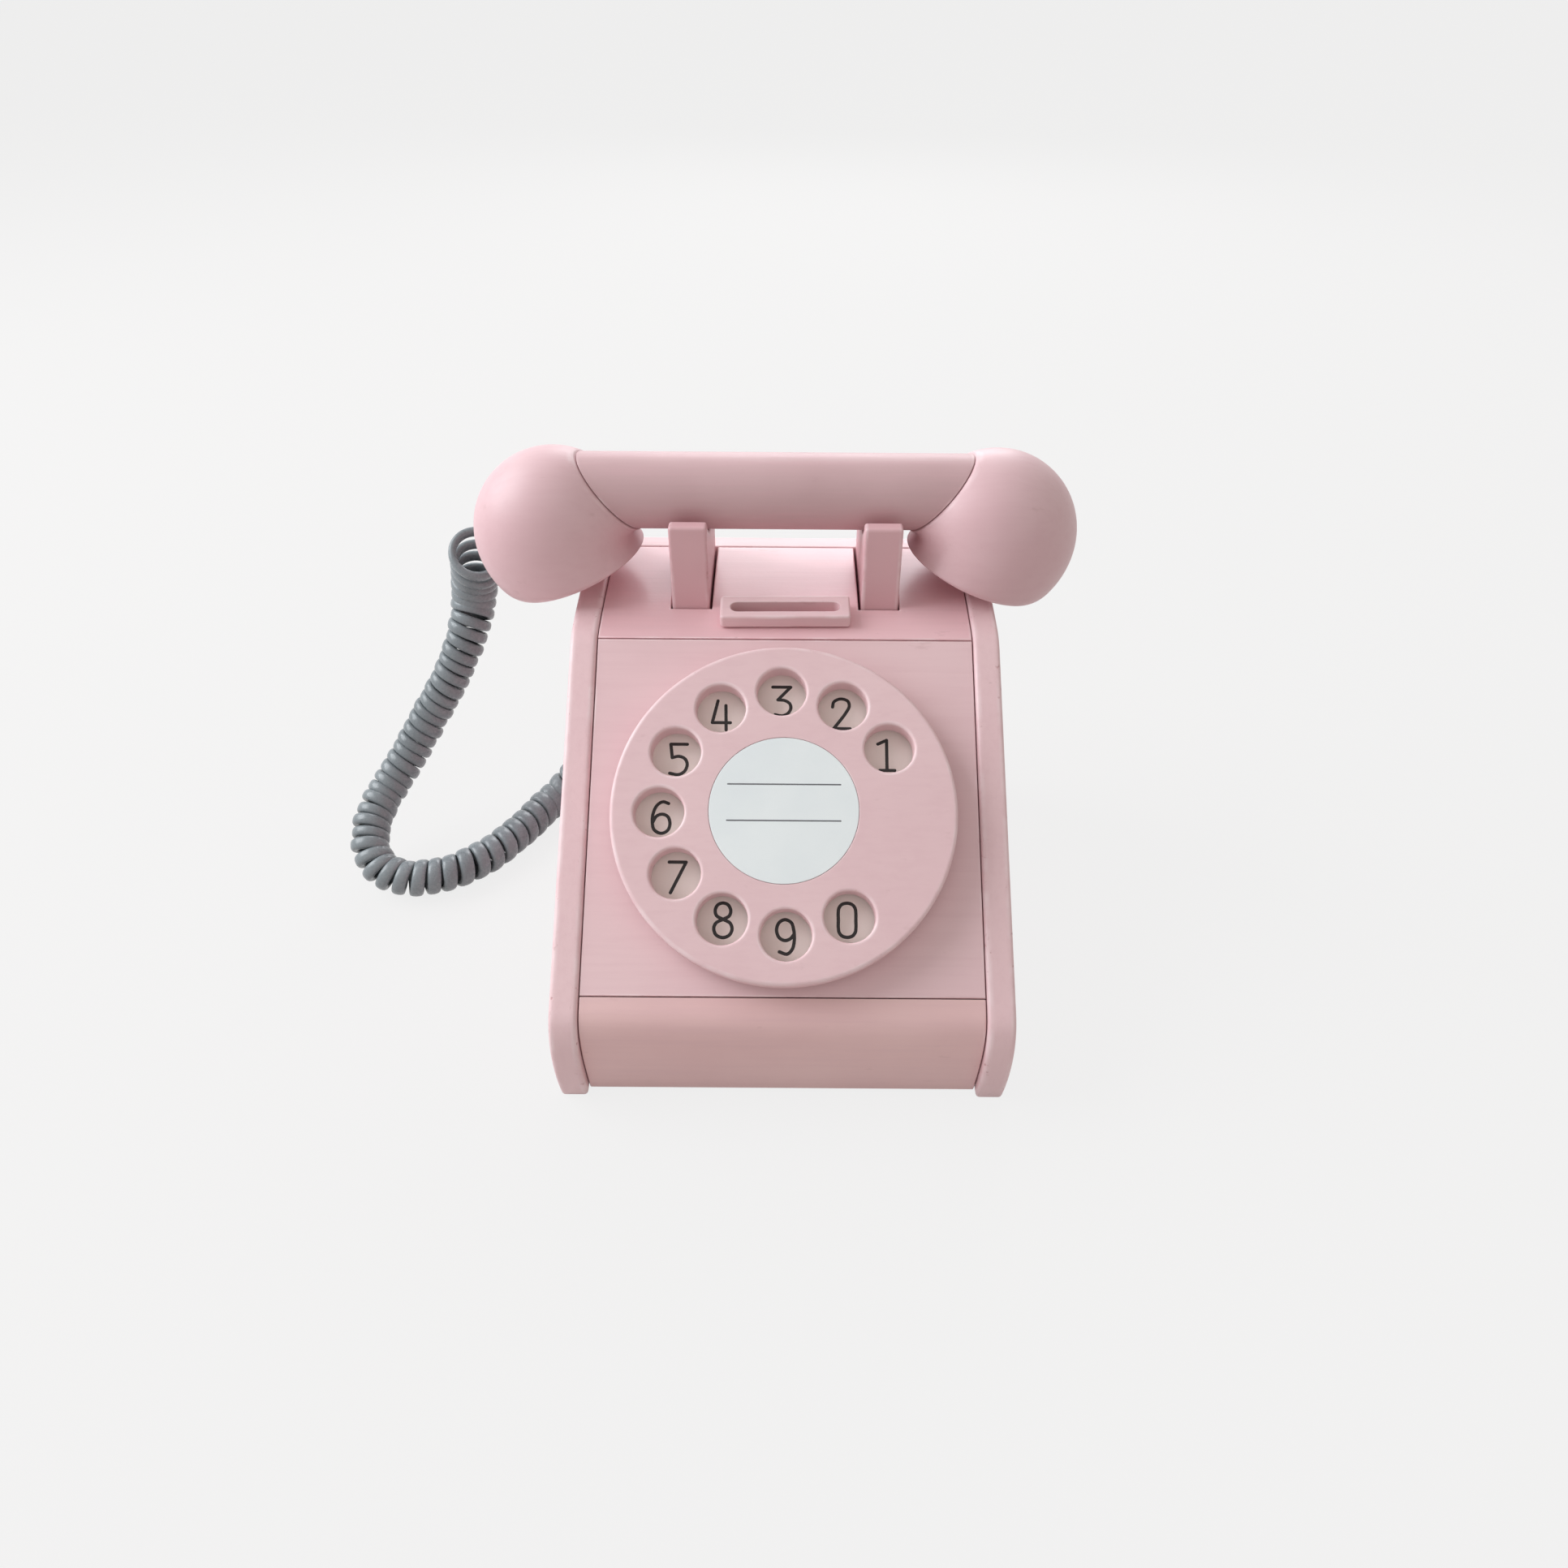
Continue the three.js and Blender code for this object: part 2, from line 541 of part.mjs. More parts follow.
const barHalf = CROSS_BAR.length / 2;
const pinHoles = [-1, 1].map((sign) => rod(PIN.radius + PIN.play, 0, PIN.top)
  .translate(sign * PIN.x, PIN.depth, 0));
const crossBar = raised(rectangle(-barHalf, CROSS_BAR.front, barHalf, CROSS_BAR.rear),
  CROSS_BAR.height, CROSS_BAR.edge).translate(0, 0, CROSS_BAR.top - CROSS_BAR.height);
piece('cross_bar', cut(crossBar, ...pinHoles), BARE_WOOD);

const pinFoot = SHELF.top - PIN.sunk;
const shelf = raised(rectangle(-PANEL_WIDTH / 2, SHELF.front, PANEL_WIDTH / 2, BACK_FRONT - SEAM),
  SHELF.thickness, 0).translate(0, 0, SHELF.top - SHELF.thickness);
const pinSockets = [-1, 1].map((sign) => rod(PIN.radius + SEAM, pinFoot - SEAM, PIN.top)
  .translate(sign * PIN.x, PIN.depth, 0));
piece('spring_shelf', cut(shelf, ...pinSockets), BARE_WOOD);

class SpringPath extends THREE.Curve {
  constructor(z0, z1) {
    super();
    this.z0 = z0;
    this.z1 = z1;
  }

  getPoint(t, target = new THREE.Vector3()) {
    const angle = 2 * Math.PI * SPRING.turns * t;
    return target.set(SPRING.radius * Math.cos(angle), SPRING.radius * Math.sin(angle),
      THREE.MathUtils.lerp(this.z0, this.z1, t));
  }
}

bothSides((side, sign) => {
  piece(`guide_pin_${side}`, turned([[0, pinFoot], [PIN.radius, pinFoot],
    [PIN.radius, PIN.top - PIN.tip], [PIN.radius - PIN.tip, PIN.top], [0, PIN.top]])
    .translate(sign * PIN.x, PIN.depth, 0), BARE_WOOD);
  const path = new SpringPath(SHELF.top + SEAM + SPRING.clear,
    CROSS_BAR.top - CROSS_BAR.height - SEAM - SPRING.clear);
  const wire = polygonPath(THREE.Shape, 0, 0, SPRING.wire, 5);
  piece(`hook_spring_${side}`, new THREE.ExtrudeGeometry(wire,
    { steps: SPRING.turns * 8, extrudePath: path }).translate(sign * PIN.x, PIN.depth, 0), STEEL);
});

// ---------------------------------------------------------------- handset

// Closed body through rings of equal count, each end capped from its middle.
function loft(rings) {
  const count = rings[0].length;
  const points = rings.flat();
  const triangles = [];
  for (let r = 0; r + 1 < rings.length; r++) {
    for (let i = 0; i < count; i++) {
      const a = r * count + i;
      const b = r * count + (i + 1) % count;
      triangles.push(a, b, b + count, a, b + count, a + count);
    }
  }
  const caps = [rings[0], rings[rings.length - 1]];
  caps.forEach((edge, end) => {
    const middle = edge.reduce((sum, p) => sum.add(p), new THREE.Vector3()).divideScalar(count);
    const base = end * (rings.length - 1) * count;
    points.push(middle);
    for (let i = 0; i < count; i++) {
      const pair = [base + i, base + (i + 1) % count];
      if (end === 0) pair.reverse();
      triangles.push(...pair, points.length - 1);
    }
  });
  const geometry = new THREE.BufferGeometry().setFromPoints(points);
  geometry.setIndex(triangles);
  return geometry;
}

function dowelTool(sign, gap) {
  return rod(DOWEL.radius + gap, -DOWEL.length / 2 - gap, DOWEL.length / 2 + gap)
    .rotateY(Math.PI / 2).translate(sign * MITRE.half, 0, 0);
}

const barRings = [-1, 1].map((sign) => Array.from({ length: BAR_SIDES }, (_, i) => {
  const angle = 2 * Math.PI * i / BAR_SIDES;
  const z = BAR_RADIUS * Math.sin(angle);
  const x = sign * (MITRE.half - SEAM / 2 + MITRE.lean * z);
  return new THREE.Vector3(x, BAR_RADIUS * Math.cos(angle), z);
}));
piece('grip_bar', cut(loft(barRings), dowelTool(-1, SEAM), dowelTool(1, SEAM)), PINK_PAINT, handset);

function bezier([a, b, c, d], t) {
  const u = 1 - t;
  return a * u ** 3 + 3 * b * t * u * u + 3 * c * t * t * u + d * t ** 3;
}

function cupRing(t, sides) {
  const mitreAngle = Math.atan2(1, MITRE.lean);
  const pivotX = MITRE.half + SEAM / 2 - CUP.pivot * Math.cos(mitreAngle);
  const pivotZ = -CUP.pivot * Math.sin(mitreAngle);
  const plane = THREE.MathUtils.lerp(mitreAngle, -CUP.earTilt, t);
  const rim = Math.max(0, (t - CUP.rimStart) / (1 - CUP.rimStart));
  const drawnIn = CUP.rimRound * (1 - Math.sqrt(1 - rim * rim));
  const centre = bezier(CUP.centre, t);
  const height = bezier(CUP.height, t) - drawnIn;
  const width = bezier(CUP.width, t) - drawnIn;
  return Array.from({ length: sides }, (_, i) => {
    const angle = 2 * Math.PI * i / sides;
    const reach = centre + height * Math.cos(angle);
    return new THREE.Vector3(pivotX + reach * Math.cos(plane), -width * Math.sin(angle),
      pivotZ + reach * Math.sin(plane));
  });
}

function cupSolid(sign) {
  const rings = CUP.steps.map((t) => cupRing(t, CUP.sides));
  if (sign > 0) return loft(rings);
  return loft(rings.map((edge) => edge.map((p) => p.setX(-p.x)).reverse()));
}

const glandSeat = new THREE.Vector3(...HANDSET_GLAND.seat);
const glandOut = new THREE.Vector3(...HANDSET_GLAND.out).normalize();
const glandTurn = new THREE.Quaternion().setFromUnitVectors(new THREE.Vector3(0, 0, 1), glandOut);

function onGland(geometry) {
  return geometry.applyQuaternion(glandTurn).translate(...glandSeat.toArray());
}

const glandSocket = onGland(rod(HANDSET_GLAND.sleeve + SEAM, -HANDSET_GLAND.inside - SEAM, BAR_RADIUS))
  .translate(-HANDSET_SHIFT, -BAR_DEPTH, -BAR_HEIGHT);
piece('cup_left', cut(cupSolid(-1), dowelTool(-1, SEAM), glandSocket), PINK_PAINT, handset);
piece('cup_right', cut(cupSolid(1), dowelTool(1, SEAM)), PINK_PAINT, handset);
bothSides((side, sign) => piece(`dowel_${side}`, dowelTool(sign, 0), BARE_WOOD, handset));

const grip = HANDSET_GLAND;
piece('cord_gland_handset', onGland(turned([[CORD_BORE, -grip.inside], [grip.sleeve, -grip.inside],
  [grip.sleeve, 3 * SEAM], [grip.radius, 3 * SEAM], [grip.radius, grip.lip], [grip.tip, grip.stand],
  [CORD_BORE, grip.stand], [CORD_BORE, -grip.inside]])), GREY_RUBBER);

// ---------------------------------------------------------------- cord

const boardFace = -INNER_WIDTH / 2 - SIDE_BOARD;
const grommet = CASE_GLAND;
piece('cord_gland_case', turned([[CORD_BORE, -grommet.inside], [grommet.sleeve, -grommet.inside],
  [grommet.sleeve, SEAM], [grommet.radius, SEAM], [grommet.radius, grommet.lip],
  [grommet.tip, grommet.stand], [CORD_BORE, grommet.stand], [CORD_BORE, -grommet.inside]])
  .rotateY(-Math.PI / 2)
  .translate(boardFace, CASE_GLAND.depth, CASE_GLAND.height), GREY_RUBBER);

const cordCurve = new THREE.CatmullRomCurve3(
  CORD_ROUTE.map((point) => new THREE.Vector3(...point)), false, 'centripetal');
piece('curly_cord', new THREE.ExtrudeGeometry(polygonPath(THREE.Shape, 0, 0, COIL_RADIUS, COIL_SIDES),
  { steps: CORD_STEPS, extrudePath: cordCurve }), GREY_CORD);

export default phone;
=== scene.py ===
import math

import bmesh
import bpy
import numpy as np
from mathutils import Matrix, Vector


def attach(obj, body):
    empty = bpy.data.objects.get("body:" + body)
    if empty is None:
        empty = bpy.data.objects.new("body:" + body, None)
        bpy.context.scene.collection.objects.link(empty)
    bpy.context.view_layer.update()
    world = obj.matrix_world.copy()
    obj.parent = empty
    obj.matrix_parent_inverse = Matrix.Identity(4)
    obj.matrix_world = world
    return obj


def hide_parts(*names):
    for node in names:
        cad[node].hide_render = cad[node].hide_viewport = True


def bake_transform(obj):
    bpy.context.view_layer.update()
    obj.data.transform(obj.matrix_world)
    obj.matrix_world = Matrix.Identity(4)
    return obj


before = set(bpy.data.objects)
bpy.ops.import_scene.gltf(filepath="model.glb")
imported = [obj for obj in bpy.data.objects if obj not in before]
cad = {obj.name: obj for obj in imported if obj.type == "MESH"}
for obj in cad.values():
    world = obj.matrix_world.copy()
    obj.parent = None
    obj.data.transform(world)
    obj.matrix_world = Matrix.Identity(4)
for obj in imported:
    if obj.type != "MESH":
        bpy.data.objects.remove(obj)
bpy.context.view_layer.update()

# ---- camera -------------------------------------------------------------------------------
# Looks down on the dial from the front, from a third of a metre away.

CAMERA_PLACE = (0, -0.2781, 0.2726)
CAMERA_TILT, CAMERA_ROLL = math.radians(52), math.radians(0.4)
SENSOR_WIDTH, FOCAL_LENGTH = 36, 26.37

sight = bpy.data.cameras.new("camera")
sight.sensor_width = SENSOR_WIDTH
sight.lens = FOCAL_LENGTH
camera = bpy.data.objects.new("camera", sight)
camera.matrix_world = (Matrix.Translation(CAMERA_PLACE) @ Matrix.Rotation(CAMERA_TILT, 4, "X")
                       @ Matrix.Rotation(CAMERA_ROLL, 4, "Z"))
bpy.context.scene.collection.objects.link(camera)
bpy.context.scene.camera = camera
bpy.context.scene.view_settings.view_transform = "Standard"

# ---- curly cord ---------------------------------------------------------------------------
# A flat grey plastic strand wound left-handed into a springy coil, glossy from its mould. Its
# first turns are pulled open in an arch at the left cup; it sags to the table and comes round
# to the left board.

CASE_DEPTH = 148
CORD_ROUTE = [                       # middle of the coil, (x, depth, height) in mm
    [-100.4, 135.2, 102.5],
    [-102, 138.4, 96.8],
    [-103.5, 140.8, 91.6],
    [-104.7, 142, 86.7],
    [-105.4, 142, 83.3],
    [-106.1, 141.2, 79.7],
    [-106.8, 139.2, 76.2],
    [-109, 136.2, 69.6],
    [-115.6, 130.8, 56.3],
    [-124.2, 126, 43.2],
    [-131.8, 119.2, 31.6],
    [-138.6, 110.6, 23],
    [-141.4, 103, 19],
    [-141.8, 95.8, 15.6],
    [-140.6, 90, 12.4],
    [-137.6, 86, 10],
    [-133.4, 83.5, 8.2],
    [-128.2, 82.6, 7.2],
    [-122.2, 83.2, 6.6],
    [-115, 85.7, 6.5],
    [-107.5, 90.4, 6.5],
    [-100.9, 97.7, 6.5],
    [-95.1, 106.2, 6.5],
    [-90.2, 116, 6.5],
    [-86, 123.8, 6.7],
    [-82.4, 128.4, 8.4],
    [-78.8, 131.4, 11.8],
    [-73.6, 133.5, 15.2],
    [-67.6, 134, 16],
    [-60.1, 134, 16],
]
COIL_PITCH = [                       # mm along the route, and mm between the turns there
    [0, 6, 11, 16, 26, 34, 115, 168, 230],
    [6.1, 5.8, 5.2, 4.3, 3.85, 4.1, 4.15, 5.5, 5.6],
]
STAND_OFF = [                        # mm along the route, and mm from it to the strand's middle
    [0, 6, 12, 17, 22, 30, 45, 110, 135],
    [7.5, 7.1, 6.8, 6.5, 6.2, 5.7, 5.05, 5, 4.75],
]
COIL_CLOSES, COIL_TAIL = 6, 5        # mm in which it closes in, and mm that then run straight
FIRST_RING_FACES = [0.33, 0.85, 0.4]
LEAD = [[-87, 138, 112], [-91.6, 143.2, 111]]        # out of the cup's grommet, toward the coil
BEND_REACH = 1.1                                     # slopes at the bend's ends, over its gap
STRAND_AT = [0, 150, 220]                            # mm along the strand
STRAND_WIDTH = [3.7, 3.9, 4.9]
STRAND_THICKNESS = [2.4, 2.5, 2.8]
STRAND_FILLS = 0.93                                  # of the pitch, where the turns lie close
SECTION_SIDES, SECTION_SQUARENESS = 16, 2.5
ROUTE_STEPS, COIL_STEPS, STRAND_STEPS = 40, 2400, 2700
LEAD_STEPS, BEND_STEPS = 20, 80
OVER_TABLE = 0.0002                                  # lowest that the strand lies, in metres


def smooth_path(points, steps):
    """Centripetal Catmull-Rom curve through the points: each span is a cubic whose end slopes
    weigh the neighbouring spans by the root of their lengths."""
    knots = np.asarray(points, float)
    knots = np.vstack([2 * knots[0] - knots[1], knots, 2 * knots[-1] - knots[-2]])
    root = np.sqrt(np.linalg.norm(np.diff(knots, axis=0), axis=1))[:, None]
    past, start, end, after = knots[:-3], knots[1:-2], knots[2:-1], knots[3:]
    before, span, beyond = root[:-2], root[1:-1], root[2:]
    leaving = ((start - past) / before - (end - past) / (before + span)
               + (end - start) / span) * span
    coming = ((end - start) / span - (after - start) / (span + beyond)
              + (after - end) / beyond) * span
    t = (np.arange(steps) / steps)[None, :, None]
    start, end, leaving, coming = start[:, None], end[:, None], leaving[:, None], coming[:, None]
    curve = (start + leaving * t + (3 * (end - start) - 2 * leaving - coming) * t ** 2
             + (2 * (start - end) + leaving + coming) * t ** 3)
    return np.vstack([curve.reshape(-1, knots.shape[1]), knots[-2]])


def length_along(points):
    """Distance from the first point along the polyline."""
    return np.append(0, np.cumsum(np.linalg.norm(np.diff(points, axis=0), axis=1)))


def unit(vectors):
    """Vectors over their own lengths."""
    return vectors / np.linalg.norm(vectors, axis=-1, keepdims=True)


def evenly(count, *columns):
    """The columns at equal steps of the first one's length."""
    s = length_along(columns[0])
    even = np.linspace(0, s[-1], count)
    return [np.stack([np.interp(even, s, part) for part in column.T], 1) for column in columns]


def wound(route, pitch, stand_off, faces):
    """Left-handed helix about a route: the angle falls by 2 pi / pitch along it, and by the turn
    that the route's own side vectors make, and each point stands off the route by stand_off.
    The first one stands off toward faces."""
    s = length_along(route)
    forward = unit(np.gradient(route, s, axis=0))
    guide = np.array([0.2, 0.9, -0.5])
    side = unit(guide - (forward @ guide)[:, None] * forward)
    across = np.cross(forward, side)
    own_turn = np.append(0, np.cumsum(np.sum(np.diff(side, axis=0) * across[1:], axis=1)))
    rate = 2 * math.pi / pitch
    angle = (math.atan2(np.dot(faces, across[0]), np.dot(faces, side[0])) - own_turn
             - np.append(0, np.cumsum((rate[1:] + rate[:-1]) / 2 * np.diff(s))))
    out = np.cos(angle)[:, None] * side + np.sin(angle)[:, None] * across
    return route + stand_off[:, None] * out, out


def between_rings(index):
    """Four-sided faces between rows of vertex numbers, each row a ring that closes up."""
    closed = np.hstack([index, index[:, :1]])
    return np.stack([closed[:-1, :-1], closed[:-1, 1:], closed[1:, 1:], closed[1:, :-1]],
                    -1).reshape(-1, 4).tolist()


def grid_mesh(name, *grids, capped=True):
    """Mesh of (rows, columns, 3) grids in metres: each row is a ring, and the first and last
    ring are filled if the mesh is capped."""
    faces, first = [], 0
    for grid in grids:
        rows, columns = grid.shape[:2]
        index = first + np.arange(rows * columns).reshape(rows, columns)
        faces += between_rings(index)
        if capped:
            faces += [index[0][::-1].tolist(), index[-1].tolist()]
        first += rows * columns
    mesh = bpy.data.meshes.new(name)
    mesh.from_pydata(np.concatenate([grid.reshape(-1, 3) for grid in grids]), [], faces)
    mesh.shade_smooth()
    return mesh


def facing_out(mesh, sharp=180):
    """Turns a closed mesh's faces outward, and marks its edges past the angle as sharp."""
    work = bmesh.new()
    work.from_mesh(mesh)
    bmesh.ops.recalc_face_normals(work, faces=work.faces)
    work.to_mesh(mesh)
    work.free()
    mesh.set_sharp_from_angle(angle=math.radians(sharp))
    return mesh


def mark_rims(mesh, rim):
    """Writes how far each vertex lies on a rounded rim, 0 to 1, as the attribute rim."""
    mesh.attributes.new("rim", "FLOAT", "POINT").data.foreach_set("value", rim)


def add_piece(name, mesh, body, material, slot, *nodes):
    """Puts a finished mesh in the scene, riding on a body, in the place of CAD nodes."""
    made = bpy.data.objects.new(name, mesh)
    mesh.materials.append(material)
    bpy.context.scene.collection.objects.link(made)
    if body:
        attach(made, body)
    if nodes:
        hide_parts(*nodes)
    return made


class Wire:
    """One output in a material's nodes. A sign between wires and numbers adds a Math node."""

    def __init__(self, tree, socket=None):
        self.tree, self.socket = tree, socket

    def node(self, kind, settings=None, inputs=None, output=0):
        """Adds a node of a type: its settings first, then the values or wires of its sockets."""
        made = self.tree.nodes.new("ShaderNode" + kind)
        for setting, value in (settings or {}).items():
            setattr(made, setting, value)
        for socket, value in (inputs or {}).items():
            if isinstance(value, Wire):
                self.tree.links.new(value.socket, made.inputs[socket])
            else:
                made.inputs[socket].default_value = value
        return Wire(self.tree, made.outputs[output])

    def maths(self, operation, *values):
        return self.node("Math", {"operation": operation}, dict(enumerate(values)))

    def __add__(self, other):
        return self.maths("ADD", self, other)

    def __radd__(self, other):
        return self.maths("ADD", other, self)

    def __sub__(self, other):
        return self.maths("SUBTRACT", self, other)

    def __rsub__(self, other):
        return self.maths("SUBTRACT", other, self)

    def __mul__(self, other):
        return self.maths("MULTIPLY", self, other)

    def __rmul__(self, other):
        return self.maths("MULTIPLY", other, self)

    def between(self, low, high, to_low=0.0, to_high=1.0):
        """This value's place from low to high, held within the ends, as to_low to to_high."""
        return self.node("MapRange", {}, {"Value": self, "From Min": low, "From Max": high,
                                          "To Min": to_low, "To Max": to_high})

    def blend(self, colour_a, colour_b):
        """Colour a where this value is 0, and colour b where it is 1."""
        return self.node("Mix", {"data_type": "RGBA"}, {0: self, 6: colour_a, 7: colour_b}, 2)

    def noise(self, scale, detail=3.0, roughness=0.5, stretch=(1, 1, 1)):
        """Cloudy noise at this place, drawn out where stretch is under 1."""
        place = self.node("Mapping", {}, {"Vector": self, "Scale": stretch})
        return place.node("TexNoise", {}, {"Vector": place, "Scale": scale, "Detail": detail,
                                           "Roughness": roughness})

    def bump(self, depth, strength=1.0):
        """Normal of a surface that this value raises by up to depth, in metres."""
        return self.node("Bump", {}, {"Height": self, "Distance": depth, "Strength": strength})

    def into(self, shader, socket):
        self.tree.links.new(self.socket, shader.inputs[socket])


def rgb(red, green, blue):
    """A colour written as 0 to 255, as the shader's linear values."""
    part = np.array([red, green, blue]) / 255
    linear = np.where(part <= 0.04045, part / 12.92, ((part + 0.055) / 1.055) ** 2.4)
    return (*linear, 1)


def new_finish(name):
    """A material with only its shader, and the surface's own place in the object to start from."""
    material = bpy.data.materials.new(name)
    material.use_nodes = True
    place = Wire(material.node_tree).node("TexCoord", output="Object")
    return material, material.node_tree.nodes["Principled BSDF"], place


grey_plastic, shader, place = new_finish("grey_cord_plastic")
cloud = place.noise(60)
scuff = place.noise(900, 4).between(0.45, 0.7)
cloud.between(0.3, 0.7).blend(rgb(118, 125, 129), rgb(133, 140, 144)).into(shader, "Base Color")
(scuff * 0.14 + 0.24).into(shader, "Roughness")
(cloud + place.noise(500, 2) * 0.4).bump(0.0001, 0.4).into(shader, "Normal")

# The coil's pitch and width wander a little, as a used cord's do. At the board it closes in on
# the route and ends straight.
middle, = evenly(COIL_STEPS, smooth_path(CORD_ROUTE, ROUTE_STEPS))
along = length_along(middle)
wander = 0.04 * np.sin(along * 0.9 + 1) + 0.05 * np.sin(along * 0.37) + 0.03 * np.sin(along * 2.3)
pitch = np.interp(along, *COIL_PITCH) * (1 + wander)
stand_off = np.interp(along, *STAND_OFF) + 0.16 * np.sin(along * 0.8) + 0.1 * np.sin(along * 2.1)
ending = ((along[-1] - COIL_TAIL - along) / COIL_CLOSES).clip(0, 1)
coil, out = wound(middle, pitch, stand_off * ending ** 2 * (3 - 2 * ending), FIRST_RING_FACES)

# From the grommet the strand bends into the coil: a cubic with both ends' directions.
lead = np.array(LEAD, float)
leaves, joins = unit(lead[1] - lead[0]), unit(coil[1] - coil[0])
reach = BEND_REACH * np.linalg.norm(coil[0] - lead[1])
t = np.linspace(0, 1, BEND_STEPS)[:, None]
straight = lead[0] + t[:LEAD_STEPS] / t[LEAD_STEPS - 1] * (lead[1] - lead[0])
bend = ((2 * t ** 3 - 3 * t ** 2 + 1) * lead[1] + (t ** 3 - 2 * t ** 2 + t) * leaves * reach
        + (3 * t ** 2 - 2 * t ** 3) * coil[0] + (t ** 3 - t ** 2) * joins * reach)
lead_rows = len(straight) + len(bend) - 2
turn_in = np.linspace(0, 1, lead_rows)[:, None]
lead_out = unit(unit(np.cross(leaves, [0, 0, 1])) * (1 - turn_in) + out[0] * turn_in)
pitch = np.stack([np.append(np.full(lead_rows, pitch[0]), pitch)] * 3, 1)
strand, out, pitch = evenly(STRAND_STEPS, np.vstack([straight[:-1], bend[:-1], coil]),
                            np.vstack([lead_out, out]), pitch)

# The strand's section is a flat oval with squarish sides, its thin way off the route.
strand_at = length_along(strand)
strand = (strand - [0, CASE_DEPTH / 2, 0]) / 1000
ahead = unit(np.gradient(strand, axis=0))
thick_way = unit(out - np.sum(out * ahead, axis=1, keepdims=True) * ahead)
wide_way = np.cross(ahead, thick_way)
corner = np.linspace(0, 2 * math.pi, SECTION_SIDES, endpoint=False)
section = np.stack([np.cos(corner), np.sin(corner)])
section = np.sign(section) * np.abs(section) ** (2 / SECTION_SQUARENESS)
half_width = np.minimum(np.interp(strand_at, STRAND_AT, STRAND_WIDTH),
                        STRAND_FILLS * pitch[:, 0])[:, None, None] / 2000
half_thickness = np.interp(strand_at, STRAND_AT, STRAND_THICKNESS)[:, None, None] / 2000
tube = (strand[:, None] + half_width * section[0][None, :, None] * wide_way[:, None]
        + half_thickness * section[1][None, :, None] * thick_way[:, None])
tube[..., 2] = np.maximum(tube[..., 2], OVER_TABLE)   # pressed flat by its weight on the table
curly_cord = add_piece("curly_cord_strand", facing_out(grid_mesh("curly_cord_strand", tube)), None,
                       grey_plastic, "grey_cord", "curly_cord")
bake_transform(curly_cord)

# ---- side boards --------------------------------------------------------------------------
# Two boards of pale hardwood carry the outline of the case: sawn, rounded over by hand and
# brushed with satin pink paint. The left one is bored for the cord's grommet.

SEAM = 0.3                                           # left open between glued pieces
INNER_WIDTH, SIDE_BOARD = 110.6, 7.8
PROUD = 0.7                                          # of the side boards over the panels
SLOPE, FACE_OFFSET = math.radians(36.8), 25.7
CROWN_HEIGHT, CROWN_DEPTH, CROWN_FLATNESS = 102.6, 130, 430
BOARD_EDGE, FRONT_PANEL_EDGE = 1.2, 0.4
GLAND_DEPTH, GLAND_HEIGHT, GLAND_BORE = 134, 16, 4.9
RIM_STEPS = 5
BOARD_SHARP, TURNED_SHARP = 38, 50                   # degrees past which an edge is drawn sharp


def face_at(along, out=0.0):
    """(depth, height) of a point on the sloped front, a distance up it and off it."""
    return np.stack([along * math.cos(SLOPE) - (FACE_OFFSET + out) * math.sin(SLOPE),
                     along * math.sin(SLOPE) + (FACE_OFFSET + out) * math.cos(SLOPE)], -1)


def crown(depth):
    """Height of the crowned top: a parabola that falls off with the depth from its middle."""
    return CROWN_HEIGHT - (CROWN_DEPTH - depth) ** 2 / CROWN_FLATNESS


def bezier(points, steps=14):
    """Bezier curve of three or four points, as sums of each point times its Bernstein term."""
    t, n = np.linspace(0, 1, steps)[:, None], len(points) - 1
    terms = [math.comb(n, k) * t ** k * (1 - t) ** (n - k) for k in range(n + 1)]
    return sum(term * np.asarray(point, float) for term, point in zip(terms, points))


def oblong(x0, y0, x1, y1, corner=0.0, steps=7):
    """Rectangle whose corners are quarter circles."""
    turn = np.linspace(0, math.pi / 2, steps) if corner else np.array([math.pi / 4])
    reach = np.array([[x1, y1], [x0, y1], [x0, y0], [x1, y0]])
    inner = reach - corner * np.array([[1, 1], [-1, 1], [-1, -1], [1, -1]])
    angle = turn[None] + np.arange(4)[:, None] * math.pi / 2
    return (inner[:, None] + corner * np.stack([np.cos(angle), np.sin(angle)], -1)).reshape(-1, 2)


def circle(x, y, radius, steps=64):
    angle = np.linspace(0, 2 * math.pi, steps, endpoint=False)
    return np.stack([x + radius * np.cos(angle), y + radius * np.sin(angle)], 1)


